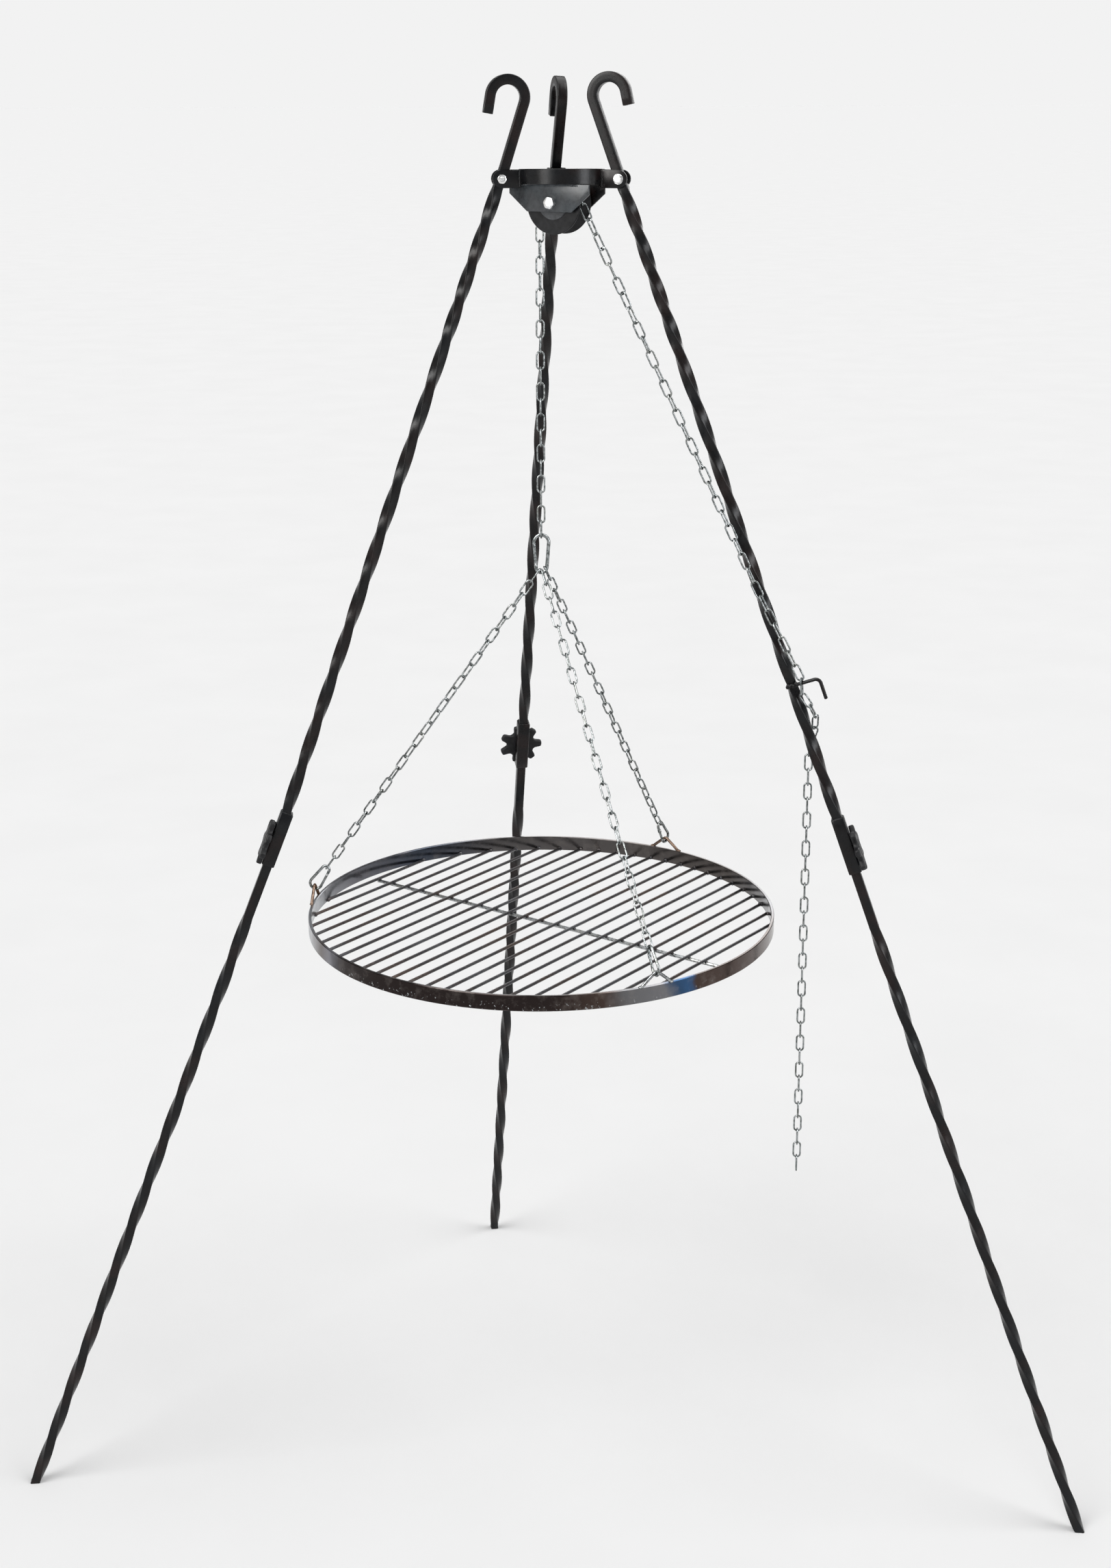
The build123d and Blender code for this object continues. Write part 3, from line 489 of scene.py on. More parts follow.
# ------------------------------------------------------------------ legs
HINGE_Z, BAR, BEND = 1713.0, 12.0, 13.0
LEGS = {
    "left": dict(az=98.7, hinge=74.0, foot=730.0, shift=0.0, s=861.0, turn=-3.0, knee=(366.5, 908.0), hook=91.0, tip=22.0, lean=(2.0, 0.0)),
    "right": dict(az=-108.3, hinge=72.5, foot=712.0, shift=0.0, s=853.0, turn=12.0, knee=None, hook=94.0, tip=16.0, lean=(0.0, 0.0)),
    "back": dict(az=11.15, hinge=70.4, foot=627.9, shift=4.9, s=833.0, turn=0.0, knee=None, hook=89.0, tip=24.0, lean=(0.0, 2.1)),
}
for name, L in LEGS.items():
    a = math.radians(L["az"])
    u = V(-math.sin(a), math.cos(a), 0)
    side = np.cross(u, V(0, 0, 1))
    H, F = u * L["hinge"] + side * L["shift"] + V(0, 0, HINGE_Z), u * L["foot"] + side * L["shift"]
    K = u * L["knee"][0] + V(0, 0, L["knee"][1]) if L["knee"] else None
    uh = norm(H - (K if K is not None else F))
    if K is not None:
        ul = norm(K - F)
        top = K + ul * np.linalg.norm(H - K)
    else:
        ul, top = uh, H
    L.update(u=u, H=H, F=F, side=side, uh=uh, ul=ul, top=top, oh=np.cross(uh, side), ol=np.cross(ul, side))


def rot2(prof, deg):
    c, s = math.cos(math.radians(deg)), math.sin(math.radians(deg))
    return prof @ np.array([[c, s], [-s, c]])


TWIST = 1.0      # sense of the twist, going down, about the upward axis
sq = square(BAR, 1.3)
sq_in = square(BAR - 1.4, 0.9)
SL_OUT, SL_L, GRIP = 16.5, 73.0, 24.0

for name, L in LEGS.items():
    H, x, y, z, turn = L["H"], L["side"], L["oh"], L["uh"], L["turn"]
    # hooked, plain and twisted stretches of the upper bar
    rings = []
    R0, A0, Z0, TIP = 20.5, 188.0, L["hook"] - BEND, L["tip"]
    ea = math.radians(A0)
    lo_, ls_ = math.radians(L["lean"][0]), math.radians(L["lean"][1])
    B0 = H + z * BEND
    hz3 = norm(z * math.cos(lo_) * math.cos(ls_) + y * math.sin(lo_) + x * math.sin(ls_))
    hy3 = norm(y * math.cos(lo_) - z * math.sin(lo_))
    hx3 = np.cross(hy3, hz3)
    tdir = hy3 * math.sin(ea) + hz3 * math.cos(ea)
    ndir = -hy3 * math.cos(ea) + hz3 * math.sin(ea)
    endc = B0 + hy3 * R0 * (1 - math.cos(ea)) + hz3 * (Z0 + R0 * math.sin(ea))
    # profile axes: the first stays, the second turns with the bend
    def up_ring(c, ny, prof=sq, s=1.0, xx=hx3):
        return place(prof, c, xx, ny, s)
    rings.append(up_ring(endc + tdir * TIP, ndir * 1.0, sq_in))
    rings.append(up_ring(endc + tdir * (TIP - 0.6), ndir, sq))
    rings.append(up_ring(endc + tdir * (TIP * 0.5), ndir, sq))
    for d in np.arange(A0, -0.1, -4.0):
        a = math.radians(max(d, 0.0))
        c = B0 + hy3 * R0 * (1 - math.cos(a)) + hz3 * (Z0 + R0 * math.sin(a))
        ny = -hy3 * math.cos(a) + hz3 * math.sin(a)
        fat = 1.0 + 0.02 * math.sin(a)
        rings.append(up_ring(c, ny, sq, fat))
    for zz in (60.0, 35.0, 10.0, 2.0):
        rings.append(up_ring(B0 + hz3 * zz, -hy3))
    for zz in (9.0, 0.0, -12.0):
        rings.append(up_ring(H + z * zz, -y, xx=x))
    # from here the second axis is -y: the twist angle is measured in that frame
    s_top = L["s"] - SL_L / 2
    n1 = 64
    for i in range(1, n1 + 1):
        s = 12.0 + (204.0 - 12.0) * i / n1
        ang = 360.0 * i / n1
        rings.append(place(rot2(sq * np.array([1, -1]), TWIST * ang), H - z * s, x, y))
    n2 = int((s_top - 204.0) / 3.2)
    for i in range(1, n2 + 1):
        s = 204.0 + (s_top + 1.0 - 204.0) * i / n2
        ang = (900.0 + turn) * (s - 204.0) / (s_top - 0.5 - 204.0)
        rings.append(place(rot2(sq * np.array([1, -1]), TWIST * ang), H - z * s, x, y))
    rings.append(place(rot2(sq * np.array([1, -1]), TWIST * (900.0 + turn)), H - z * (s_top + 20), x, y))
    v, f = loft(rings)
    bag = Bag()
    bag.add(v, f)
    bag.out(f"vis_{name}_upper_bar", PAINT, f"{name}_upper", [f"{name}_upper_rod"], sharp=50)

    # sleeve: square tube with rounded edges, hollow at the lower end
    xl, yl, zl, T0 = L["side"], L["ol"], L["ul"], L["top"]
    so, so2 = square(SL_OUT, 1.8), square(SL_OUT - 1.0, 1.5)
    si = square(13.0, 0.6)
    s_bot = L["s"] + SL_L / 2
    rr = []
    def sl(prof, s):
        return place(rot2(prof, turn), T0 - zl * s, xl, yl)
    for prof, s in ((square(12.4, 0.8), s_top + 1.2), (square(12.6, 0.9), s_top + 0.2), (so2, s_top), (so, s_top + 0.7),
                    (so, s_top + 20), (so, s_bot - 20), (so, s_bot - 0.7), (so2, s_bot), (square(13.6, 0.8), s_bot),
                    (si, s_bot - 0.6), (si, s_bot - 44.0)):
        rr.append(sl(prof, s))
    b = Bag()
    b.add(*loft(rr))
    # weld lumps where the bar enters the sleeve
    for q in range(4):
        a0, a1 = math.radians(90 * q + 45 + turn), math.radians(90 * q + 135 + turn)
        p0 = T0 - zl * (s_top - 0.2) + (xl * math.cos(a0) + yl * math.sin(a0)) * 8.2
        p1 = T0 - zl * (s_top - 0.2) + (xl * math.cos(a1) + yl * math.sin(a1)) * 8.2
        bead(b, p0, p1, 1.5, zl)
    # nut seat welded on the outward face for the knob's screw
    kd = yl * math.cos(math.radians(turn)) - xl * math.sin(math.radians(turn))
    kc = T0 - zl * (L["s"] + 8)
    b.add(*hexa(13.0, 0.4, kc + kd * 8.2, kd, 0.1))
    b.out(f"vis_{name}_sleeve", PAINT, f"{name}_upper", [f"{name}_sleeve"], sharp=45)

    # lower bar
    plain_end = L["s"] + 111.0
    foot_s = np.linalg.norm(T0 - L["F"])
    rings = []
    rings.append(place(rot2(sq_in, turn), T0 - zl * (s_top + GRIP + 1.0), xl, yl))
    rings.append(place(rot2(sq, turn), T0 - zl * (s_top + GRIP + 1.8), xl, yl))
    rings.append(place(rot2(sq, turn), T0 - zl * (s_bot + 10), xl, yl))
    rings.append(place(rot2(sq, turn), T0 - zl * plain_end, xl, yl))
    pitch = (foot_s - plain_end) / 13
    n3 = int((foot_s - plain_end) / 3.3)
    for i in range(1, n3 + 1):
        s = plain_end + (foot_s - plain_end) * i / n3
        rings.append(place(rot2(sq, turn + TWIST * 90.0 * (s - plain_end) / pitch), T0 - zl * s, xl, yl))
    # ground-level cut
    tail = []
    for s, prof in ((foot_s, sq),):
        r_ = place(rot2(prof, turn + TWIST * 90 * 13), T0 - zl * s, xl, yl)
        r_ = r_ - (r_[:, 2:] / zl[2]) * zl        # slide each point along the bar to the floor
        tail.append(r_)
    keep = [r_ for r_ in rings if r_[:, 2].min() > 1.2]
    rings = keep + [tail[0] + V(0, 0, 0.8), (tail[0] - tail[0].mean(0)) * 0.93 + tail[0].mean(0)]
    b = Bag()
    b.add(*loft(rings))
    b.out(f"vis_{name}_lower_bar", PAINT, f"{name}_lower", [f"{name}_lower_rod"], sharp=50)

    # star knob and its screw
    kx = xl * math.cos(math.radians(turn)) + yl * math.sin(math.radians(turn))
    ky = np.cross(kd, kx)
    nn = 280
    th = np.arange(nn) * 2 * math.pi / nn
    ker = np.exp(-0.5 * (np.arange(-6, 7) * 360.0 / nn / 2.4) ** 2)
    ker /= ker.sum()
    def star(inset):
        r = []
        for t in th:
            k = (t % (2 * math.pi / 7)) - math.pi / 7
            cx, rr_ = 27.0, 6.8 + inset
            h2 = rr_ ** 2 - (cx * math.sin(k)) ** 2
            q = 30.0 - inset
            if h2 > 0:
                q = min(q, cx * math.cos(k) - math.sqrt(h2))
            r.append(q)
        r = np.convolve(np.concatenate([r[-6:], r, r[:6]]), ker, "valid")
        return np.stack([r * np.cos(th), r * np.sin(th)], 1)
    kc0 = kc + kd * 12.2
    rr = []
    for inset, h in ((2.8, -3.42), (1.1, -3.35), (0.4, -2.9), (0.0, -2.2), (0.0, 1.5), (0.35, 2.5), (1.1, 3.15), (2.4, 3.44), (4.2, 3.48)):
        rr.append(kc0 + kd * h + star(inset)[:, :1] * kx + star(inset)[:, 1:] * ky)
    cap = star(4.2)
    rd_ = np.stack([np.cos(th), np.sin(th)], 1)
    for sc, h in ((0.86, 3.2), (0.66, 2.8), (0.56, 2.8), (0.52, 3.4), (0.47, 3.5), (0.2, 3.5)):
        p = cap if sc > 0.8 else cap * 0.3 + rd_ * 12.6
        rr.append(kc0 + kd * h + p[:, :1] * sc * kx + p[:, 1:] * sc * ky)
    b = Bag()
    b.add(*loft(rr))
    b.out(f"vis_{name}_star_knob", PLASTIC, f"{name}_knob", [f"{name}_star_knob"], sharp=55)
    b = Bag()
    pr = [(0.01, 6.5), (3.1, 6.6), (3.8, 7.2), (3.95, 7.6)]
    for i in range(9):
        pr += [(3.55, 7.9 + i * 0.5), (3.98, 8.1 + i * 0.5)]
    pr += [(3.98, 14.1), (0.01, 14.15)]
    b.add(*revolve(pr, kc, kd, 24))
    b.out(f"vis_{name}_knob_screw", BOLT, f"{name}_knob", [f"{name}_knob_stud"], sharp=40)

# ------------------------------------------------------------------ head
tilt = math.radians(-2.0)
rx, ry, rz = V(1, 0, 0), V(0, math.cos(tilt), math.sin(tilt)), V(0, -math.sin(tilt), math.cos(tilt))
RC = V(0, 0, 1715.0)
prof = [(48.0, -8.4), (48.6, -9.0), (51.4, -9.0), (52.0, -8.4), (52.0, -3.0), (52.0, 3.0), (52.0, 8.4), (51.4, 9.0), (48.6, 9.0), (48.0, 8.4), (48.0, 3.0), (48.0, -3.0)]
b = Bag()
b.add(*revolve(prof, RC, rz, 128, ref=rx))
b.out("vis_head_ring", PAINT, "head", ["head_ring"], sharp=40)

bolts, nuts = Bag(), Bag()
for name, L in LEGS.items():
    H, u, side = L["H"], L["u"], L["side"]
    up = V(0, 0, 1)
    e = Bag()
    for sgn in (-1, 1):
        cx = sgn * (12.6 / 2 + 1.5)
        # outline in (radial, up): starts at the ring's wall
        reach = L["hinge"] - math.sqrt(52.0 ** 2 - (cx + L["shift"]) ** 2) + 0.4
        out = [(-reach, -10.5)]
        for a in np.linspace(-90, 90, 17):
            out.append((10.5 * math.cos(math.radians(a)), 10.5 * math.sin(math.radians(a))))
        out.append((-reach, 10.5))
        e.add(*prism(out, 3.0, H + side * cx, u, up, 0.5, 2))
        wall = H + side * (cx + sgn * 1.6) - u * (reach - 0.8)
        bead(e, wall + up * 8.5, wall - up * 8.5, 1.5, side * sgn)
    e.out(f"vis_{name}_ears", PAINT, "head", [f"{name}_hinge_ears"], sharp=40)
    half = 12.6 / 2 + 3.0
    front = side if name != "back" else side
    bolts.add(*hexa(10.0, 4.0, H + side * half, side, 0.9, turn=0.35))
    bolts.add(*revolve([(0.01, -half - 7.9), (2.4, -half - 7.9), (2.95, -half - 7.3), (2.95, half), (0.01, half)], H, side, 24))
    bolts.add(*revolve([(3.2, 0.0), (6.1, 0.0), (6.1, 0.5), (3.2, 0.5)], H + side * half, side, 32))
    nuts.add(*hexa(10.0, 4.9, H - side * half, -side, 0.8, turn=0.1))
bolts.out("vis_hinge_bolts", BOLT, "head", ["hinge_bolts"])
nuts.out("vis_hinge_nuts", BOLT, "head", ["hinge_nuts"])

psi = math.radians(31.0)
E_, N_ = V(math.cos(psi), -math.sin(psi), 0), V(-math.sin(psi), -math.cos(psi), 0)
PC = V(-3.94, -13.74, 1686.0)
UP = V(0, 0, 1)
PG, PT = 33.6, 3.0
for tag, sgn in (("front", 1), ("rear", -1)):
    c = PC + N_ * sgn * (PG / 2 + PT / 2) - E_ * 2.4
    o = [(-55, 21.5), (-55, 10.0), (-30.5, -10.5), (30.5, -10.5), (55, 10.0), (55, 21.5)]
    p = Bag()
    p.add(*prism(o, PT, c, E_, UP, 0.5, 2))
    # seams under the ring
    for k in (-1, 1):
        # where the plate's plane meets the ring's wall
        d = (c - RC).dot(N_)
        w = math.sqrt(50.0 ** 2 - d ** 2)
        m = RC + N_ * d + E_ * k * w
        m = V(m[0], m[1], 1706.2)
        bead(p, m - E_ * k * 9 + N_ * sgn * 1.7, m + E_ * k * 2.0 + N_ * sgn * 1.7, 1.5, V(0, 0, 1))
    # the front plate takes the lighter grey copy of the paint as painted light; the rear plate keeps the plain black
    # paint
    p.out(f"vis_pulley_plate_{tag}", LIT_PLATE_PAINT if tag == "front" else PAINT, "head", [f"pulley_plate_{tag}"], sharp=40)

hw = 13.5
wp = [(4.06, -hw - 1.5), (19.4, -hw - 1.5), (20.0, -hw - 0.9), (20.0, -hw), (36.2, -hw), (37.0, -hw + 0.8), (37.0, -hw + 1.6),
      (36.4, -hw + 2.2), (19.0, -3.4), (18.1, -2.0), (18.1, 2.0), (19.0, 3.4), (36.4, hw - 2.2), (37.0, hw - 1.6), (37.0, hw - 0.8), (36.2, hw),
      (20.0, hw), (20.0, hw + 0.9), (19.4, hw + 1.5), (4.06, hw + 1.5)]
v, f = revolve(wp, PC, -N_, 96)
w = Bag()
w.add(v, f)
ob = w.out("vis_pulley_wheel", PULLEY, "pulley", ["pulley_wheel"], sharp=40)
# the hub faces get the lighter grey material, a painted reflection
ob.data.materials.append(HUB_REFLECTION)
for p in ob.data.polygons:
    c = np.array(p.center[:]) * 1000 - OFF - PC
    r = math.sqrt(max(0.0, c.dot(c) - c.dot(N_) ** 2))
    if r < 20.2 and abs(c.dot(N_)) > hw - 0.2:
        p.material_index = 1
ax = Bag()
hh = PG / 2 + PT
ax.add(*hexa(13.0, 5.3, PC + N_ * hh, N_, 1.0, turn=0.2))
ax.add(*revolve([(0.01, -hh - 8.9), (3.4, -hh - 8.9), (3.95, -hh - 8.2), (3.95, hh), (0.01, hh)], PC, N_, 28))
ax.out("vis_pulley_axle_bolt", BOLT, "head", ["pulley_axle_bolt"])
nb = Bag()
nb.add(*hexa(13.0, 6.4, PC - N_ * hh, -N_, 0.9, turn=0.5))
nb.out("vis_pulley_axle_nut", BOLT, "head", ["pulley_axle_nut"])
wb = Bag()
wt = PG / 2 - hw - 1.5 - 0.3
for k in (-1, 1):
    i0, i1 = k * (PG / 2 - wt), k * PG / 2
    lo_, hi_ = min(i0, i1), max(i0, i1)
    wb.add(*revolve([(4.2, lo_), (7.7, lo_), (8.0, lo_ + 0.3), (8.0, hi_ - 0.3), (7.7, hi_), (4.2, hi_)], PC, N_, 32))
wb.out("vis_pulley_washers", BOLT, "head", ["pulley_washers"])

# ------------------------------------------------------------------ chains
LINK_D, LINK_W, PITCH = 2.2, 11.0, 18.9


def link_mesh(pitch, d=LINK_D, n=10, shrink=0.0):
    inner = pitch + 0.30
    r = (LINK_W - LINK_D) / 2
    h = (inner + LINK_D) / 2 - r
    pts = []
    # corners a little squarer than a plain half circle, as bent links are
    for a in np.linspace(0, 180, 13):
        t = math.radians(a)
        pts.append(V(r * math.cos(t), 0, h + r * math.sin(t)))
    pts.append(V(-r, 0, h * 0.4))
    pts.append(V(-r * 0.985, 0, 0))
    pts.append(V(-r, 0, -h * 0.4))
    for a in np.linspace(180, 360, 13):
        t = math.radians(a)
        pts.append(V(r * math.cos(t), 0, -h + r * math.sin(t)))
    pts.append(V(r, 0, -h * 0.4))
    # butt seam at the middle of one side
    for zz in (-1.2, -0.25, 0.25, 1.2):
        pts.append(V(r, 0, zz))
    pts.append(V(r, 0, h * 0.4))
    P = np.array(pts)
    v, f = tube(P, d / 2, n=n, closed=True)
    # narrow the seam
    m = np.abs(v[:, 2]) < 0.4
    m &= v[:, 0] > 0
    v[m] = v[m] + (V(r, 0, 0) - v[m] * V(1, 1, 0)) * 0.10
    return v, f


def march(points, pitch):
    dense = []
    for a, b_ in zip(points[:-1], points[1:]):
        n = max(1, int(np.linalg.norm(b_ - a) / 0.1))
        dense += [a + (b_ - a) * (i / n) for i in range(n)]
    dense.append(points[-1])
    nodes = [dense[0]]
    for j in range(1, len(dense)):
        if np.linalg.norm(dense[j] - nodes[-1]) >= pitch:
            a, b_ = dense[j - 1], dense[j]
            da, db = np.linalg.norm(a - nodes[-1]), np.linalg.norm(b_ - nodes[-1])
            t = (pitch - da) / (db - da) if db > da else 1.0
            nodes.append(a + (b_ - a) * t)
    return nodes, np.linalg.norm(dense[-1] - nodes[-1])


def fit_march(points, pitch):
    total = sum(np.linalg.norm(b_ - a) for a, b_ in zip(points[:-1], points[1:]))
    n = round(total / pitch)
    lo_p, hi_p = total / n * 0.94, total / n * 1.01
    for _ in range(22):
        mid_p = (lo_p + hi_p) / 2
        nodes, rest = march(points, mid_p)
        if len(nodes) - 1 >= n and not (len(nodes) - 1 == n and rest < 1e-6):
            lo_p = mid_p
        else:
            hi_p = mid_p
    nodes, rest = march(points, lo_p)
    return nodes[: n + 1], lo_p


def chain_bag(nodes, pitch, rolls, ref, d=LINK_D, n=10, wander=0.0, seed=3, skip=0):
    base_v, base_f = link_mesh(pitch, d, n)
    bag = Bag()
    rg = random.Random(seed)
    for i in range(len(nodes) - 1):
        a, b_ = nodes[i], nodes[i + 1]
        t = norm(b_ - a)
        r0 = ref(i, t)
        r0 = norm(r0 - t * r0.dot(t))
        q = np.cross(t, r0)
        ang = math.radians(rolls(i) + (rg.random() - 0.5) * 2 * wander)
        if i < skip:
            continue
        x = r0 * math.cos(ang) + q * math.sin(ang)
        y = np.cross(t, x)
        c = (a + b_) / 2
        bag.add(c + base_v[:, :1] * x + base_v[:, 1:2] * y + base_v[:, 2:] * t, base_f)
    return bag


CHAIN_R = 27.0
HX, GX = -27.0, -29.5
TOP_SNAP, SMALL_SNAP = (4.4, 52.0, 23.0, 6.8), (3.6, 40.0, 19.0, 5.0)
TOP_SNAP_TOP = 1285.4
drop_x = PC[0] - CHAIN_R * math.cos(psi)
drop_y = PC[1] + CHAIN_R * math.sin(psi)
z0 = (TOP_SNAP_TOP - TOP_SNAP[0] / 2) - (TOP_SNAP[0] / 2 + 0.1)
drop_nodes = [V(drop_x, drop_y, z0 + PITCH * i) for i in range(22)]


def drop_roll(i):
    return (90 if i % 2 == 0 else 0) - max(0, i - 12) * -14.0 / 8


drop = chain_bag(drop_nodes, PITCH, drop_roll, lambda i, t: V(1, 0, 0), wander=5)
drop_ob = drop.out("vis_hoist_chain_drop", ZINC, None, (), sharp=60)
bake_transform(drop_ob)
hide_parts("hoist_chain_drop")
# the same chain again, hidden inside it at rest: it is what shows above when the grate is lowered
stay = chain_bag(drop_nodes, PITCH, drop_roll, lambda i, t: V(1, 0, 0), d=1.9, n=8, wander=5, skip=1)
stay.out("vis_hoist_chain_above", ZINC, "head", (), sharp=60)

R = LEGS["right"]


def leg_point(L, x, y, s):
    return L["H"] + L["side"] * x + L["oh"] * y - L["uh"] * s


HOOK_S, HOOK_SIDE, HOOK_OUT, HOOK_DROP, HOOK_D, HOOK_AT = 639.5, 9.2, 38.0, 27.0, 4.5, 16.0
hook_node = leg_point(R, HOOK_SIDE, HOOK_AT, HOOK_S - 4.8)
cross_pt = leg_point(R, 16.5, 2.0, 515.0)
flat_run = cross_pt - PC
fall = math.atan2(math.hypot(flat_run[0], flat_run[1]), -flat_run[2])
arc = []
for i in range(61):
    a = math.pi - (math.pi - fall) * i / 60
    arc.append(PC + E_ * (CHAIN_R * math.cos(a)) + V(0, 0, CHAIN_R * math.sin(a)))
nodes, p2 = fit_march([drop_nodes[-1]] + arc + [cross_pt, hook_node], PITCH)
n_wrap = 0
for i, p in enumerate(nodes):
    if p[2] < PC[2] - 6 and i > 3:
        n_wrap = i
        break
wrap = chain_bag(nodes[: n_wrap + 1], p2, lambda i: 135 + 90 * (i % 2), lambda i, t: N_)
wrap.out("vis_hoist_chain_wrap", ZINC, "head", ["hoist_chain_wrap"], sharp=60)
last_k = len(nodes) - 2


def run_roll(i):
    k = i + n_wrap
    ease = min(1.0, (i + 1) / 8.0)
    want = 0 if (last_k - k) % 2 == 0 else 90
    start = 135 + 90 * (k % 2)
    best = min((want + 180 * m for m in range(-2, 3)), key=lambda w_: abs(w_ - start))
    return start + (best - start) * ease


def run_ref(i, t):
    ease = min(1.0, (i + 1) / 8.0)
    return N_ * (1 - ease) + R["u"] * ease


run = chain_bag(nodes[n_wrap:], p2, run_roll, run_ref, wander=4)
run_ob = run.out("vis_hoist_chain_run", ZINC, None, (), sharp=60)
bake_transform(run_ob)
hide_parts("hoist_chain_run")

# wire hook on the leg
hx, hy, hs, RH = HOOK_SIDE, HOOK_OUT, HOOK_S, 6.5
LP = lambda x, y, s: leg_point(R, x, y, s)
pts = [LP(hx - 2.2, 3.0, hs), LP(hx - 1.0, 8.0, hs), LP(hx - 0.2, 12.0, hs), LP(hx, 16.0, hs), LP(hx, hy - RH, hs)]
for a in np.linspace(10, 90, 8):
    t = math.radians(a)
    pts.append(LP(hx, hy - RH + RH * math.sin(t), hs + RH - RH * math.cos(t)))
pts += [LP(hx, hy, hs + 16), LP(hx, hy, hs + HOOK_DROP - 1)]
hb = Bag()
hb.add(*tube(pts, HOOK_D / 2, n=14))
for i in range(9):
    hb.add(*ball(LP(hx - 1.6 + rnd.random() * 1.2, -4 + i * 1.6, hs + (rnd.random() - 0.5) * 2.0), 2.5 + rnd.random() * 0.5, n=7, jitter=0.12))
hb.out("vis_chain_hook", PAINT, "right_upper", ["chain_hook"], sharp=60)


def leg_cyl(r, t, z):
    return R["u"] * r + R["side"] * t + V(0, 0, z)


tail_route = [hook_node, LP(9.0, 9.8, 656.0), LP(4.0, 14.2, 671.0), LP(-6.0, 13.8, 686.0), LP(-14.0, 7.5, 700.0),
              LP(-17.0, -4.5, 713.0), leg_cyl(316.0, -17.0, 1028.0), leg_cyl(316.0, -17.0, 446.0)]
tail_nodes, rest_ = march(tail_route, PITCH)


def tail_ref(i, t):
    m = (tail_nodes[i] + tail_nodes[i + 1]) * 0.5 - R["H"]
    x, y, low = m.dot(R["side"]), m.dot(R["oh"]), -m.dot(R["uh"])
    if low > 706:
        x, y = -17.0, -4.5
    away = norm(R["side"] * x + R["oh"] * y)
    k = min(1.0, i / 2.0)
    return R["oh"] * (1 - k) + away * k


n_hitch = next(i for i, p in enumerate(tail_nodes) if p[2] < 1028.0) + 1
hitch_b = chain_bag(tail_nodes[: n_hitch + 1], PITCH, lambda i: 90 if i % 2 == 0 else 0, tail_ref, wander=0)
hitch_b.out("vis_hoist_chain_hitch", ZINC, "right_upper", ["hoist_chain_hitch"], sharp=60)
tail_b = chain_bag(tail_nodes[n_hitch:], PITCH, lambda i: 90 if (i + n_hitch) % 2 == 0 else 0, lambda i, t: tail_ref(i + n_hitch, t), wander=0)
tail_b.out("vis_hoist_chain_tail", ZINC, "chain_tail", ["hoist_chain_tail"], sharp=60)

# ------------------------------------------------------------------ grate
GT, RIM_R, RIM_T, RIM_H = 789.0, 304.0, 4.0, 20.0
GC = V(GX, 0, 0)
hr = RIM_H / 2


def wobble(a):
    return 0.25 * math.sin(3 * a + 1.0) + 0.12 * math.sin(7 * a)


prof = [(RIM_R - RIM_T, -hr + 0.8), (RIM_R - RIM_T + 0.7, -hr), (RIM_R - 0.7, -hr), (RIM_R, -hr + 0.8), (RIM_R, -3), (RIM_R, 3), (RIM_R, hr - 0.8),
        (RIM_R - 0.7, hr), (RIM_R - RIM_T + 0.7, hr), (RIM_R - RIM_T, hr - 0.8), (RIM_R - RIM_T, 3), (RIM_R - RIM_T, -3)]
b = Bag()
b.add(*revolve([(r_ - 0.3, h_) for r_, h_ in prof], GC + V(0, 0, GT - hr), UP, 320, ref=V(1, 0, 0), wob=wobble))
b.out("vis_grate_rim", RIM, "grate", ["grate_rim"], sharp=40)
ra = math.radians(54.0)
rd, rn = V(math.cos(ra), math.sin(ra), 0), V(-math.sin(ra), math.cos(ra), 0)
ROD_D, CROSS_D = 4.0, 4.5
rod_z = GT - RIM_H + ROD_D / 2 + 0.5
rods, welds = Bag(), Bag()
for i in range(22):
    off = 282.0 - 25.4 * i
    half = math.sqrt((RIM_R - RIM_T) ** 2 - off ** 2) - 0.8
    c = GC + rn * off + V(0, 0, rod_z)
    bow = (rnd.random() - 0.5) * 0.8
    P = [c + rd * half * k + rn * bow * (1 - k * k) for k in np.linspace(-1, 1, 9)]
    rods.add(*tube(P, ROD_D / 2, n=16))
    for k in (-1, 1):
        e_ = c + rd * half * k
        for j in range(3):
            welds.add(*ball(e_ + rd * k * (-0.6 + 0.4 * j) + rn * (rnd.random() - 0.5) * 3 + V(0, 0, (rnd.random() - 0.5) * 2), 1.9 + rnd.random() * 0.8, n=7, jitter=0.15))
rods.out("vis_grate_rods", ROD, "grate", ["grate_rods"], sharp=60)
cbz = rod_z - (ROD_D + CROSS_D) / 2 + 0.1
c0 = GC + rn * 284.5 + rd * 6.0 + V(0, 0, cbz)
c1 = GC - rn * 274.5 + rd * 6.0 + V(0, 0, cbz)
cb = Bag()
cb.add(*tube([c0 + (c1 - c0) * k for k in np.linspace(0, 1, 9)], CROSS_D / 2 - 0.05, n=16))
cb.out("vis_grate_cross_bar", SILVER, "grate", ["grate_cross_bar"], sharp=60)
for i in range(22):
    off = 282.0 - 25.4 * i
    m = GC + rn * off + rd * 6.0 + V(0, 0, rod_z - 2)
    welds.add(*ball(m + rn * 1.9, 1.5, n=6, jitter=0.1))
    welds.add(*ball(m - rn * 1.9, 1.5, n=6, jitter=0.1))
welds.out("vis_grate_welds", ROD, "grate", (), sharp=60)

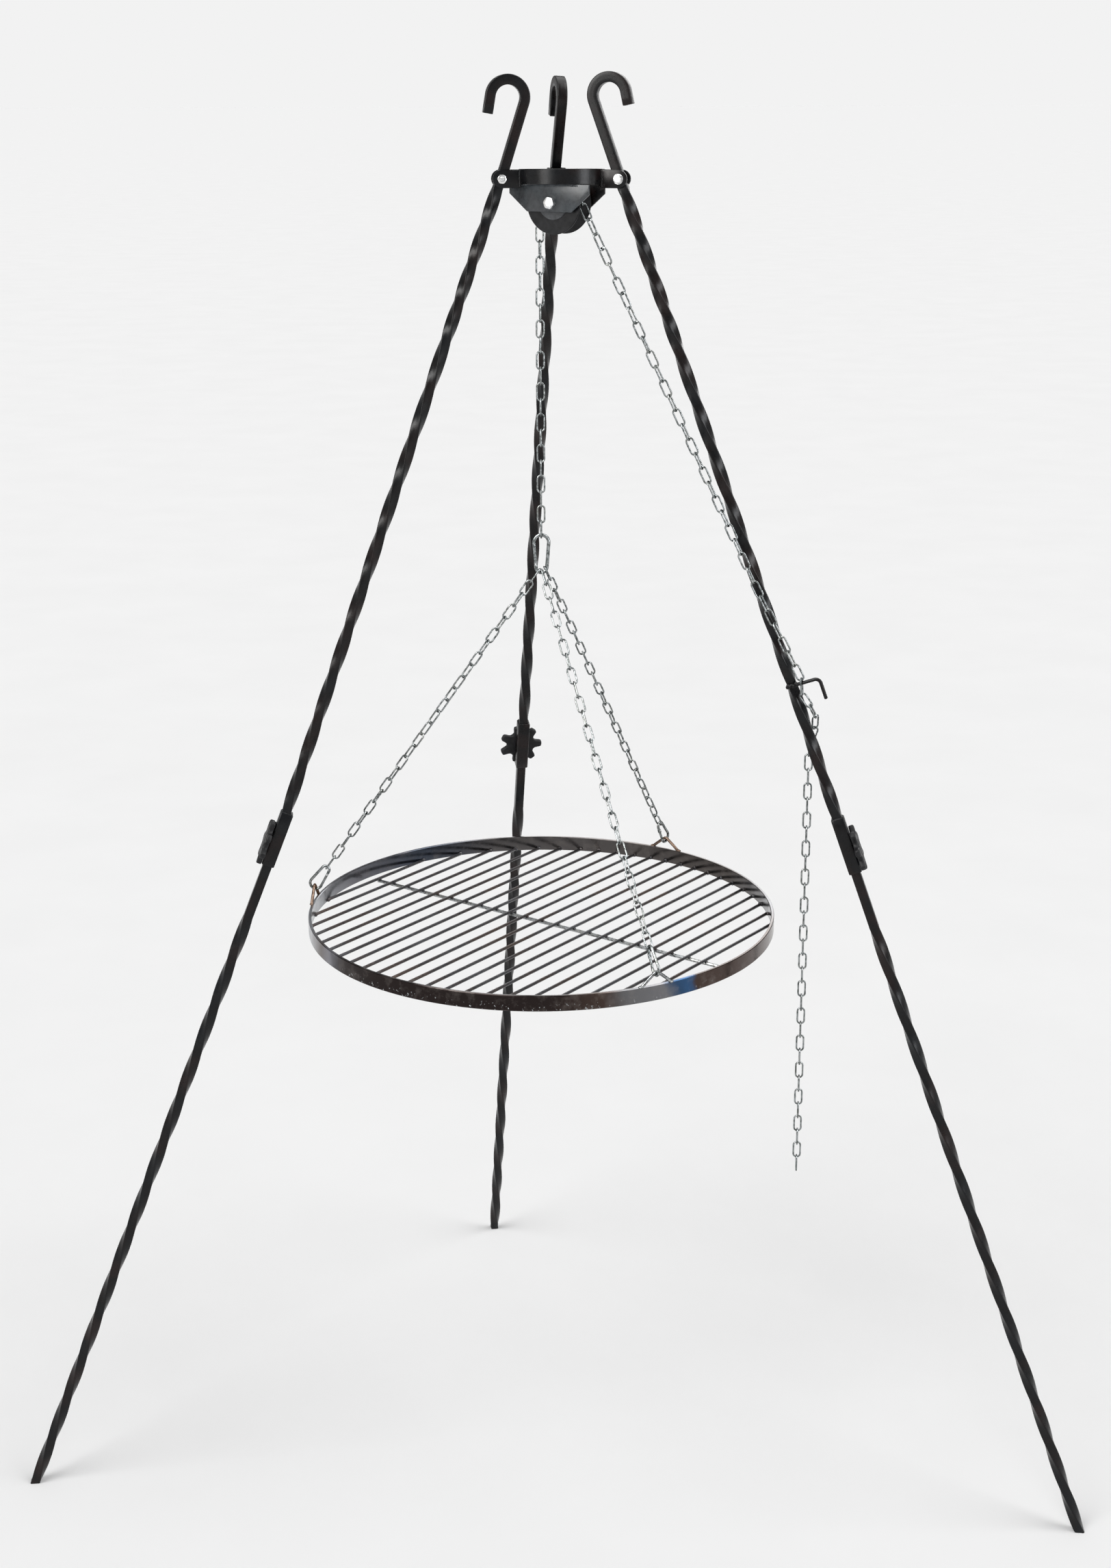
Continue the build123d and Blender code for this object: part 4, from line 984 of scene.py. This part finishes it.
HANGERS = {"back": (54.9, 17.0), "front": (-62.3, 18.0), "left": (173.0, 22.0)}
bars = {}
for name, (th_, rise) in HANGERS.items():
    a = math.radians(th_)
    rad, tang = V(math.cos(a), math.sin(a), 0), V(-math.sin(a), math.cos(a), 0)
    o = GC + rad * (RIM_R - RIM_T / 2) + V(0, 0, GT)
    hz = rise - 2.0
    half, top_z = 21.0, hz + 1.2
    # V with a small bend at the apex
    slope = norm(tang * half - V(0, 0, top_z))
    bend = 5.0
    cut = bend * math.tan(math.acos(np.clip(norm(-slope * V(1, 1, -1)).dot(slope), -1, 1)) / 2) if False else 3.6
    P = [o + tang * half + V(0, 0, -0.5), o + tang * (half * 0.6) + V(0, 0, top_z * 0.4)]
    ap = o + V(0, 0, top_z)
    for k in np.linspace(0, 1, 7):
        p0, p1, p2_ = ap + slope * 3.6, ap, ap - V(0, 0, 0) + norm(-tang * half - V(0, 0, top_z)) * 3.6
        P.append((1 - k) ** 2 * p0 + 2 * k * (1 - k) * p1 + k * k * p2_)
    P += [o - tang * (half * 0.6) + V(0, 0, top_z * 0.4), o - tang * half + V(0, 0, -0.5)]
    hb = Bag()
    hb.add(*tube(P, 2.0, n=14))
    for k in (-1, 1):
        for j in range(4):
            hb.add(*ball(o + tang * k * (half - 1.5 + rnd.random() * 3) + V(0, 0, 0.3), 1.9 + rnd.random() * 0.5, 1.1, 1.1, 0.6, n=7, jitter=0.15))
    hb.out(f"vis_{name}_hanger", SILVER if name == "front" else HANG, "grate", [f"{name}_hanger"], sharp=60)
    bars[name] = (o + V(0, 0, hz), rad, tang)


# ------------------------------------------------------------------ snap hooks
def snap(spec):
    d, length, width, rs_ = spec
    rb = (width - d) / 2
    zb = length / 2 - d / 2 - rb
    zs = -(length / 2 - d / 2 - rs_)
    sa = math.asin((rb - rs_) / (zb - zs))
    ca = math.cos(sa)
    br, sr = V(rb * ca, 0, zb - rb * math.sin(sa)), V(rs_ * ca, 0, zs - rs_ * math.sin(sa))
    bl, sl_ = V(-br[0], 0, br[2]), V(-sr[0], 0, sr[2])
    t = norm(br - sr)
    g0, g1 = sr + t * 3.0, br - t * 1.2
    P = [g1]
    a0 = math.degrees(math.atan2(br[2] - zb, br[0]))
    P += arc_pts(V(0, 0, zb), V(1, 0, 0), V(0, 0, 1), rb, a0, 180 - a0, 17)
    P += [bl + (sl_ - bl) * k for k in (0.33, 0.66)]
    P += arc_pts(V(0, 0, zs), V(1, 0, 0), V(0, 0, 1), rs_, 180 - a0, 360 + a0, 15)
    P += [sr + t * 1.5, g0]
    body = Bag()
    body.add(*tube(P, d / 2, n=16, ref=V(0, 1, 0)))
    # nose that the gate closes against, and the flat tab at its hinge
    body.add(*prism([(-0.7, -0.6), (0.7, -0.6), (0.7, 3.4), (-0.7, 3.4)], d * 0.75, g0, V(0, 1, 0), t, 0.15, 1))
    # coil of wire and cheeks
    L_ = np.linalg.norm(g1 - g0)
    pin = g0 + t * 2.0
    gate = Bag()
    gp = [g0 + t * 4.6 + (g1 - t * 0.5 - g0 - t * 4.6) * k for k in np.linspace(0, 1, 5)]
    gate.add(*tube(gp, d * 0.45, n=16, ref=V(0, 1, 0)))
    xg = np.cross(V(0, 1, 0), t)
    for k in (-1, 1):
        out = [(-d * 0.44, 0.5), (d * 0.44, 0.5), (d * 0.46, 6.0), (-d * 0.46, 6.0)]
        gate.add(*prism(out, 0.75, g0 + V(0, 1, 0) * k * (1.4), xg, t, 0.2, 2))
    pinb = Bag()
    pinb.add(*revolve([(0.01, -d * 0.50), (1.0, -d * 0.50), (1.0, -d * 0.42), (0.72, -d * 0.40), (0.72, d * 0.40), (1.0, d * 0.42), (1.0, d * 0.50), (0.01, d * 0.50)], pin, V(0, 1, 0), 16))
    return dict(body=body, gate=gate, pin=pinb, rb=rb, rs=rs_, zb=zb, zs=zs)


def moved(bag, c, x, z):
    y = np.cross(z, x)
    nb_ = Bag()
    v = np.vstack(bag.v)
    nb_.add(c + v[:, :1] * x + v[:, 1:2] * y + v[:, 2:] * z, bag.f)
    return nb_


ts = snap(TOP_SNAP)
tc_ = V(HX, 0, TOP_SNAP_TOP - TOP_SNAP[1] / 2)
moved(ts["body"], tc_, V(-1, 0, 0), V(0, 0, 1)).out("vis_top_snap_hook", ZINC, "grate", ["top_snap_hook"], sharp=50)
moved(ts["gate"], tc_, V(-1, 0, 0), V(0, 0, 1)).out("vis_top_snap_gate", ZINC, "top_gate", ["top_snap_gate"], sharp=50)
moved(ts["pin"], tc_, V(-1, 0, 0), V(0, 0, 1)).out("vis_top_snap_rivet", BOLT, "grate", ["top_snap_rivet"], sharp=50)
small_end = tc_ + V(0, 0, ts["zs"])
SEATS = {"left": -38.0, "front": 12.0, "back": 56.0}


def seat(name, target):
    a = math.radians(SEATS[name])
    wc = small_end + V(math.sin(a), 0, -math.cos(a)) * ts["rs"]
    wt_ = V(math.cos(a), 0, math.sin(a))
    d = norm(target - wc)
    tc2 = math.sqrt(1 - d.dot(wt_) ** 2)
    reach = (TOP_SNAP[0] / 2 + LINK_D / 2 + (0.8 if name == "back" else 0.45)) / tc2 - LINK_D / 2
    return wc - d * reach, d, norm(wt_ - d * d.dot(wt_))


sm = snap(SMALL_SNAP)
pins = Bag()
for name in ("left", "front", "back"):
    bar, rad, tang = bars[name]
    start, down, first_n = seat(name, bar)
    t = norm(start - bar)
    d, length = SMALL_SNAP[0], SMALL_SNAP[1]
    clear = d / 2 + 2.0 + 0.3
    rise_ = bar[2] - GT
    play = sm["rb"] - max(clear, clear / math.cos(math.atan2(rise_ + 1.2, 21.0)) - 1.2)
    c = bar + t * play + t * sm["zb"]
    xdir = norm(rad - t * rad.dot(t))
    moved(sm["body"], c, -xdir, -t).out(f"vis_{name}_snap_hook", ZINC, "grate", [f"{name}_snap_hook"], sharp=50)
    moved(sm["gate"], c, -xdir, -t).out(f"vis_{name}_snap_gate", ZINC, f"{name}_gate", [f"{name}_snap_gate"], sharp=50)
    q_ = moved(sm["pin"], c, -xdir, -t)
    pins.add(np.vstack(q_.v), q_.f)
    end = c + t * (length / 2 - d) - t * 0.1
    n = round(np.linalg.norm(start - end) / PITCH)
    p = np.linalg.norm(start - end) / n
    nd = [end + (start - end) * (i / n) for i in range(n + 1)]
    q = np.cross(t, xdir)
    wide = np.cross(first_n, t)
    want = math.degrees(math.atan2(wide.dot(q), wide.dot(xdir)))
    base = 90.0 + 90.0 * ((n - 1) % 2)
    tu = (want - base + 90.0) % 180.0 - 90.0
    cb_ = chain_bag(nd, p, lambda i, nn=n, tt=tu: 90.0 + 90.0 * (i % 2) + tt * i / (nn - 1), lambda i, t_, xd=xdir: xd,
                    wander=6, seed=len(name))
    cb_.out(f"vis_{name}_sling", ZINC, "grate", [f"{name}_sling_chain"], sharp=60)
pins.out("vis_sling_snap_rivets", BOLT, "grate", ["sling_snap_rivets"], sharp=50)

# ------------------------------------------------------------------ floor, light, camera
fm, nt, b = new_mat("floor")
fv = coords(nt)
nt.links.new(ramp(nt, noise(nt, fv, 3, 3), [(0.3, grey(0.86)), (0.7, grey(0.88))]), b.inputs["Base Color"])
b.inputs["Roughness"].default_value = 0.9
b.inputs["Specular IOR Level"].default_value = 0.0
me = bpy.data.meshes.new("floor")
S = 250.0
me.from_pydata([(-S, -S, 0), (S, -S, 0), (S, S, 0), (-S, S, 0)], [], [(0, 1, 2, 3)])
fl = bpy.data.objects.new("floor", me)
me.materials.append(fm)
bpy.context.scene.collection.objects.link(fl)

world = bpy.data.worlds.new("studio")
bpy.context.scene.world = world
world.use_nodes = True
wt_ = world.node_tree
bg = next(n for n in wt_.nodes if n.type == "BACKGROUND")
wo = next(n for n in wt_.nodes if n.type == "OUTPUT_WORLD")
bg.inputs["Color"].default_value = (1.0, 1.0, 1.0, 1)
bg.inputs["Strength"].default_value = 0.36
back = wt_.nodes.new("ShaderNodeBackground")
back.inputs["Color"].default_value = (0.888, 0.888, 0.888, 1)
back.inputs["Strength"].default_value = 1.0
lp = wt_.nodes.new("ShaderNodeLightPath")
mx = wt_.nodes.new("ShaderNodeMixShader")
wt_.links.new(lp.outputs["Is Camera Ray"], mx.inputs[0])
wt_.links.new(bg.outputs[0], mx.inputs[1])
wt_.links.new(back.outputs[0], mx.inputs[2])
wt_.links.new(mx.outputs[0], wo.inputs["Surface"])


def sun(name, towards, power, color=(1, 1, 1)):
    li = bpy.data.lights.new(name, "SUN")
    li.energy = power
    li.angle = math.radians(35)
    li.color = color
    ob = bpy.data.objects.new(name, li)
    bpy.context.scene.collection.objects.link(ob)
    z = norm(np.array(towards))
    x = norm(np.cross(V(0, 0.01, 1), z))
    y = np.cross(z, x)
    ob.matrix_world = Matrix(((x[0], y[0], z[0], 0), (x[1], y[1], z[1], 0), (x[2], y[2], z[2], 5), (0, 0, 0, 1)))


sun("sun_left", (-0.55, -0.5, 1.0), 1.43)
sun("sun_right", (0.7, -0.25, 1.0), 1.16)


def area(name, loc, target, size, power, color=(1, 1, 1)):
    li = bpy.data.lights.new(name, "AREA")
    li.shape = "RECTANGLE"
    li.size, li.size_y = size
    li.energy = power
    li.color = color
    ob = bpy.data.objects.new(name, li)
    bpy.context.scene.collection.objects.link(ob)
    z = norm(np.array(loc) - np.array(target))
    x = norm(np.cross(V(0, 0.01, 1), z))
    y = np.cross(z, x)
    ob.matrix_world = Matrix(((x[0], y[0], z[0], loc[0]), (x[1], y[1], z[1], loc[1]), (x[2], y[2], z[2], loc[2]), (0, 0, 0, 1)))
    ob.visible_diffuse = False      # these only draw highlights, the suns light the floor evenly
    ob.visible_camera = False
    return ob


area("key", (-2.6, -2.6, 2.8), (0, 0, 0.9), (1.6, 2.2), 110, (1.0, 0.99, 0.97))
area("fill", (3.0, -1.8, 2.2), (0, 0, 1.0), (1.4, 2.4), 70, (0.95, 0.97, 1.0))
area("top", (0.0, 0.6, 3.8), (0, 0, 0.8), (2.6, 2.2), 40)
area("rear", (0.8, 3.0, 2.2), (0, 0, 1.0), (2.4, 1.6), 30)

# camera: 3349 px focal length on a 2291 px long side
f_px = 3348.97
yaw, pitch, roll = math.radians(-0.20683), math.radians(16.87233), math.radians(0.17248)
fw = V(math.sin(yaw) * math.cos(pitch), math.cos(yaw) * math.cos(pitch), -math.sin(pitch))
right0 = V(math.cos(yaw), -math.sin(yaw), 0)
down0 = np.cross(fw, right0)
right = right0 * math.cos(roll) + down0 * math.sin(roll)
down = -right0 * math.sin(roll) + down0 * math.cos(roll)
cam = bpy.data.cameras.new("camera")
cam.lens = f_px / 2291.0 * 36.0
cam.sensor_width = 36.0
cam.sensor_fit = "AUTO"
cam.clip_start, cam.clip_end = 0.05, 1000
co = bpy.data.objects.new("camera", cam)
bpy.context.scene.collection.objects.link(co)
loc = V(0, -2.82346, 1.81510) + OFF / 1000
rgt, up_, bk = right, -down, -fw
co.matrix_world = Matrix(((rgt[0], up_[0], bk[0], loc[0]), (rgt[1], up_[1], bk[1], loc[1]), (rgt[2], up_[2], bk[2], loc[2]), (0, 0, 0, 1)))
bpy.context.scene.camera = co
bpy.context.scene.view_settings.view_transform = "Standard"
